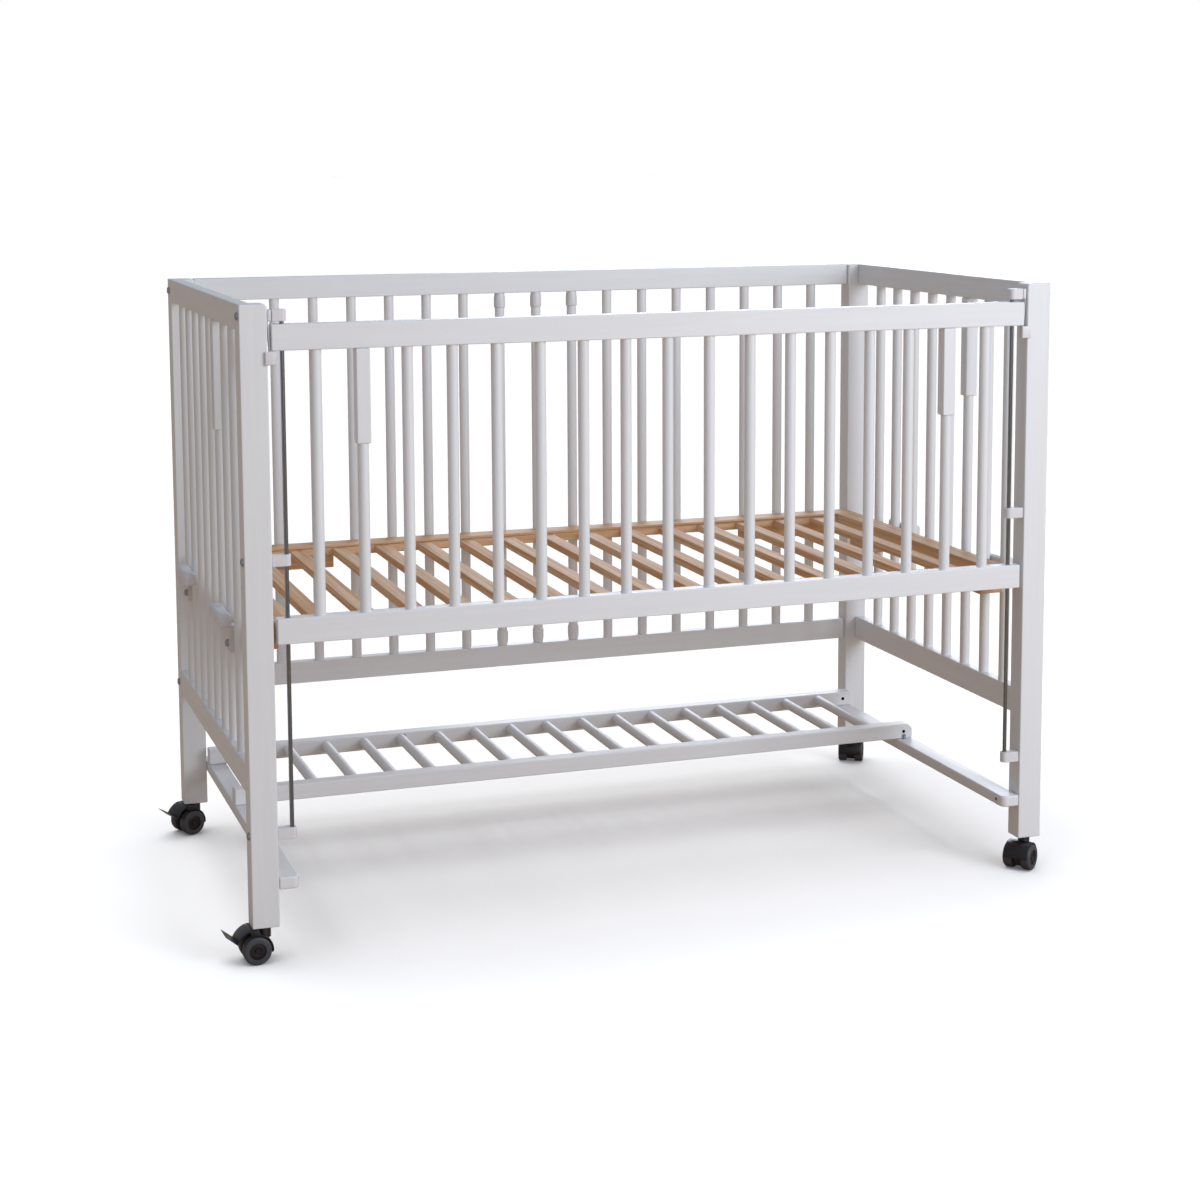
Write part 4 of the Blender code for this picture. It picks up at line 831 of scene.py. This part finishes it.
for number in range(SLATS):
    x = panel_middle + (number - (SLATS - 1) / 2) * SLAT_PITCH
    slat_low = (x - SLAT_WIDTH / 2, y_low - SLAT_TENON, slat_top - SLAT_THICKNESS)
    slat_high = (x + SLAT_WIDTH / 2, y_high + SLAT_TENON, slat_top)
    slat = board(f"base_slat_{number + 1}", slat_low, slat_high, SLAT_ROUND)
    fit(slat, pine[1], "slatted_base", PINE_SLOT)
CLEAT = Vector((210 * MM, 36 * MM, 0))
FRONT_CLEAT = Vector((0, 0, 12 * MM))
BACK_CLEAT = Vector((0, 0, 20 * MM))
for side, x in (("left", base_left), ("right", base_right - CLEAT.x)):
    cleats = ("front", low.y, FRONT_CLEAT), ("back", high.y - CLEAT.y, BACK_CLEAT)
    for name, y, depth in cleats:
        corner = Vector((x, y, base_floor)) - depth
        cleat = board(f"base_cleat_{name}_{side}", corner, corner + CLEAT + depth, BASE_ROUND)
        fit(cleat, pine[0], "slatted_base", PINE_SLOT)

# The height clamps: at each corner a white plastic jaw outside the end bars, with a lug between two bars,
# and a block on the base inside them. A bolt through the lug pulls the two together on the bars.

BLOCK_HEIGHT = 39 * MM
BLOCK_LENGTH = 85 * MM
BLOCK_REACH = 62 * MM
BLOCK_PAST_BOLT = 42 * MM
CLAMP_HEAD = 5.5 * MM, 4 * MM  # radius and height
JAW_ROUND = 1.6 * MM
crib_left = post_low[0]
for side, sign in (("left", -1), ("right", 1)):
    outer = low.x if sign < 0 else high.x
    inner = panel_middle + sign * (panel_middle - crib_left - BLOCK_REACH)
    for name, way in (("front", -1), ("back", 1)):
        jaw_node = f"clamp_jaw_{name}_{side}"
        jaw = rounded_copy(f"{name}_{side}_clamp_jaw", jaw_node, JAW_ROUND, 3)
        fit(jaw, white_nylon, "slatted_base", "white_nylon", jaw_node)
        bolt_node = f"clamp_bolt_{name}_{side}"
        bolt(f"{name}_{side}_clamp_bolt", bolt_node, "slatted_base", *CLAMP_HEAD)
        bolt_low, bolt_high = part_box(f"clamp_bolt_{name}_{side}")
        bolt_y = (bolt_low[1] + bolt_high[1]) / 2
        post_end = bolt_y + way * BLOCK_PAST_BOLT
        ends = sorted((post_end, post_end - way * BLOCK_LENGTH))
        block_low = (min(outer, inner), ends[0], low.z)
        block_high = (max(outer, inner), ends[1], low.z + BLOCK_HEIGHT)
        block = board(f"{name}_{side}_clamp_block", block_low, block_high, BASE_ROUND)
        fit(block, pine[1], "slatted_base", PINE_SLOT)

# The stretchers: a lacquered board from front to back at each end, screwed to the posts' inner faces. The
# corner that sticks out at the front is rounded, and a screw hole shows beside it.

STRETCHER_ROUND = 2.5 * MM
STRETCHER_NOSE = 10 * MM
SCREW_FROM_END = 20 * MM
SCREW_HOLE_RADIUS = 3 * MM
SCREW_HOLE_DEPTH = 6 * MM
SCREW_SINK = 0.6 * MM
DRILL_START = 1 * MM  # the drill starts this far outside the face
SMALL_SIDES = 24
black_screw = zinc_plate("blackened_steel_screw", "#0A0A0B", "#040404", 0.5)


def drill(piece, at, direction, radius, depth):
    """A blind hole into the piece, starting at a point on its face."""
    inward = Vector(direction)
    middle = Vector(at) + inward * (depth / 2 - DRILL_START)
    turn = inward.to_track_quat("Z", "Y").to_euler()
    bore(piece, middle, turn, radius, depth + 2 * DRILL_START, SMALL_SIDES)


def sunk_screw(name, at, direction, radius):
    """A blackened socket screw, its head just below the face that it was drilled into."""
    inward = Vector(direction)
    profile = [
        (radius * 0.9, -SCREW_HOLE_DEPTH + 0.5 * MM),
        (radius * 0.9, -SCREW_SINK),
        (radius * 0.8, -SCREW_SINK + 0.2 * MM),
        (radius * 0.5, -SCREW_SINK + 0.2 * MM),
        (radius * 0.42, -SCREW_SINK - 1.5 * MM),
    ]
    screw = turned(name, Vector(at), -inward, profile, SMALL_SIDES)
    fit(screw, black_screw, "frame", "zinc_plated_steel")


for side, sign in (("left", -1), ("right", 1)):
    low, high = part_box("stretcher_" + side)
    inner_x = high[0] if sign < 0 else low[0]
    nose = along("z", x=inner_x, y=low[1]), STRETCHER_NOSE, NOSE_STEPS
    stretcher = board(f"{side}_stretcher", low, high, STRETCHER_ROUND, corners=[nose])
    screw_at = (inner_x, low[1] + SCREW_FROM_END, (low[2] + high[2]) / 2)
    drill(stretcher, screw_at, (sign, 0, 0), SCREW_HOLE_RADIUS, SCREW_HOLE_DEPTH)
    fit(stretcher, white[1], "frame", WOOD_SLOT, "stretcher_" + side)
    sunk_screw(f"{side}_stretcher_screw", screw_at, (sign, 0, 0), SCREW_HOLE_RADIUS)

# The shelf: two lacquered rails lying on the stretchers, with seventeen turned rungs glued between them.
# A small steel pin at the front right corner keeps it in its place.

SHELF_RAIL = 24.5 * MM
SHELF_ROUND = 2.0 * MM
SHELF_CHAMFER = 7 * MM
SHELF_HOLE_FROM_END = 16 * MM
SMALL_HOLE_RADIUS = 1.6 * MM
SHELF_PIN_RADIUS = 2.4 * MM
SHELF_PIN_HEIGHT = 8 * MM
SHELF_PIN_EDGE = 0.4 * MM
SMALL_HOLE_FROM_LEFT = 330 * MM
SMALL_HOLE_BELOW_TOP = 4 * MM
RUNG_BELOW_TOP = 2 * MM
low, high = (Vector(corner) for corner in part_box("shelf"))
front_high = Vector((high.x, low.y + SHELF_RAIL, high.z))
chamfer = along("y", x=high.x, z=high.z), SHELF_CHAMFER, 1
front_rail = board("shelf_front_rail", low, front_high, SHELF_ROUND, corners=[chamfer])
back_low = Vector((low.x, high.y - SHELF_RAIL, low.z))
back_rail = board("shelf_back_rail", back_low, high, SHELF_ROUND)
hole_z = (low.z + high.z) / 2
for rail, face_y in ((front_rail, low.y), (back_rail, back_low.y)):
    hole = (high.x - SHELF_HOLE_FROM_END, face_y, hole_z)
    drill(rail, hole, (0, 1, 0), SCREW_HOLE_RADIUS, SCREW_HOLE_DEPTH)
    sunk_screw(rail.name + "_screw", hole, (0, 1, 0), SCREW_HOLE_RADIUS)
left_hole = (low.x + SMALL_HOLE_FROM_LEFT, back_low.y, high.z - SMALL_HOLE_BELOW_TOP)
drill(back_rail, left_hole, (0, 1, 0), SMALL_HOLE_RADIUS, SCREW_HOLE_DEPTH)
pin_at = (high.x - SHELF_HOLE_FROM_END, low.y - SHELF_PIN_RADIUS, low.z)
pin_profile = [
    (SHELF_PIN_RADIUS - SHELF_PIN_EDGE, 0),
    (SHELF_PIN_RADIUS, SHELF_PIN_EDGE),
    (SHELF_PIN_RADIUS, SHELF_PIN_HEIGHT - SHELF_PIN_EDGE),
    (SHELF_PIN_RADIUS - SHELF_PIN_EDGE, SHELF_PIN_HEIGHT),
]
pin = turned("shelf_locating_pin", pin_at, (0, 0, 1), pin_profile, SMALL_SIDES)
fit(pin, zinc, "frame", "zinc_plated_steel")
fit(front_rail, white[0], "frame", WOOD_SLOT, "shelf")
fit(back_rail, white[0], "frame", WOOD_SLOT)
rung_z = high.z - BAR_RADIUS - RUNG_BELOW_TOP
rung_start = low.y + SHELF_RAIL - TENON
rung_length = high.y - low.y - 2 * SHELF_RAIL + 2 * TENON
first = (panel_middle - BAR_PITCH * (LONG_BARS - 1) / 2, rung_start, rung_z)
rung_profile = [(BAR_RADIUS, 0), (BAR_RADIUS, rung_length)]
rungs = turned("shelf_rungs", first, (0, 1, 0), rung_profile, ROW_SIDES)
repeat(rungs, LONG_BARS, (BAR_PITCH, 0, 0))
fit(rungs, white[1], "frame", WOOD_SLOT)

# The casters: black moulded housings that swivel on steel stems, twin wheels with a matt grey tread and a
# dark hub, and on the two left ones a foot lever for the brake.

HOUSING_ROUND = 0.6 * MM
black_nylon = moulded_nylon("moulded_black_nylon", "#17181C", "#101114", 0.32, 0.05 * MM)
tread_plastic = moulded_nylon("matt_grey_tread", "#42444B", "#383A41", 0.5, 0.08 * MM)
hub_plastic = moulded_nylon("dark_hub", "#050506", "#030303", 0.5, 0.05 * MM)
WHEEL_RADIUS = 20 * MM
WHEEL_WIDTH = 15 * MM
WHEEL_GAP = 14 * MM
TREAD_EDGE = 3 * MM
HUB_RADIUS = 12 * MM
HUB_RECESS = 1.8 * MM
HUB_GROOVE = 0.6 * MM
AXLE_RADIUS = 3 * MM
AXLE_CAP = 4 * MM
WHEEL_SIDES = 56
ARC_STEP = 18  # degrees between the points of a tread's rounded edge
joints = {joint["name"]: joint for joint in frame["record"]["behaviour"]["joints"]}
for corner in corners:
    housing_node = f"caster_housing_{corner}"
    housing = rounded_copy(f"{corner}_caster_housing", housing_node, HOUSING_ROUND)
    fit(housing, black_nylon, f"caster_{corner}", "black_nylon", housing_node)
    roll = joints[f"roll_{corner}"]
    axle = Vector(roll["axis"]).normalized()
    centre = Vector(roll["pos_m"])
    shaft_profile = [(AXLE_RADIUS, -WHEEL_GAP), (AXLE_RADIUS, WHEEL_GAP)]
    shaft = turned(f"{corner}_caster_axle", centre, axle, shaft_profile, SMALL_SIDES)
    fit(shaft, zinc, f"wheels_{corner}", "zinc_plated_steel", f"caster_wheels_{corner}")
    for side, way in (("near", -1), ("far", 1)):
        start = centre + axle * way * WHEEL_GAP / 2
        arc = []
        for degrees in range(0, 91, ARC_STEP):
            turn = math.radians(degrees)
            reach = WHEEL_RADIUS - TREAD_EDGE + TREAD_EDGE * math.sin(turn)
            arc.append((reach, TREAD_EDGE - TREAD_EDGE * math.cos(turn)))
        inner_face = [(AXLE_RADIUS, 0.05 * MM)]
        far_edge = [(reach, WHEEL_WIDTH - height) for reach, height in reversed(arc)]
        recess = [
            (HUB_RADIUS, WHEEL_WIDTH),
            (HUB_RADIUS - 0.3 * MM, WHEEL_WIDTH - HUB_RECESS - 1 * MM),
        ]
        profile = inner_face + arc + far_edge + recess
        tyre = turned(f"{corner}_{side}_wheel", start, axle * way, profile, WHEEL_SIDES)
        fit(tyre, tread_plastic, f"wheels_{corner}", "dark_grey_wheel_plastic")
        profile = [
            (HUB_RADIUS - 0.5 * MM, WHEEL_WIDTH - HUB_RECESS - 2 * MM),
            (HUB_RADIUS - 0.5 * MM, WHEEL_WIDTH - HUB_RECESS),
            (HUB_RADIUS - 1.5 * MM, WHEEL_WIDTH - HUB_RECESS + 0.3 * MM),
            (AXLE_CAP + 2 * MM, WHEEL_WIDTH - HUB_RECESS + 0.3 * MM),
            (AXLE_CAP + 1 * MM, WHEEL_WIDTH - HUB_RECESS - HUB_GROOVE),
            (AXLE_CAP, WHEEL_WIDTH - HUB_RECESS - HUB_GROOVE),
            (AXLE_CAP - 0.5 * MM, WHEEL_WIDTH - HUB_RECESS + 0.6 * MM),
            (0.5 * MM, WHEEL_WIDTH - HUB_RECESS + 0.8 * MM),
        ]
        hub = turned(f"{corner}_{side}_hub", start, axle * way, profile, WHEEL_SIDES)
        fit(hub, hub_plastic, f"wheels_{corner}", "dark_grey_wheel_plastic")
for corner in ("front_left", "back_left"):
    lever_node = f"brake_lever_{corner}"
    lever = rounded_copy(f"{corner}_brake_pedal", lever_node, HOUSING_ROUND, 3)
    fit(lever, black_nylon, f"brake_{corner}", "black_nylon", lever_node)
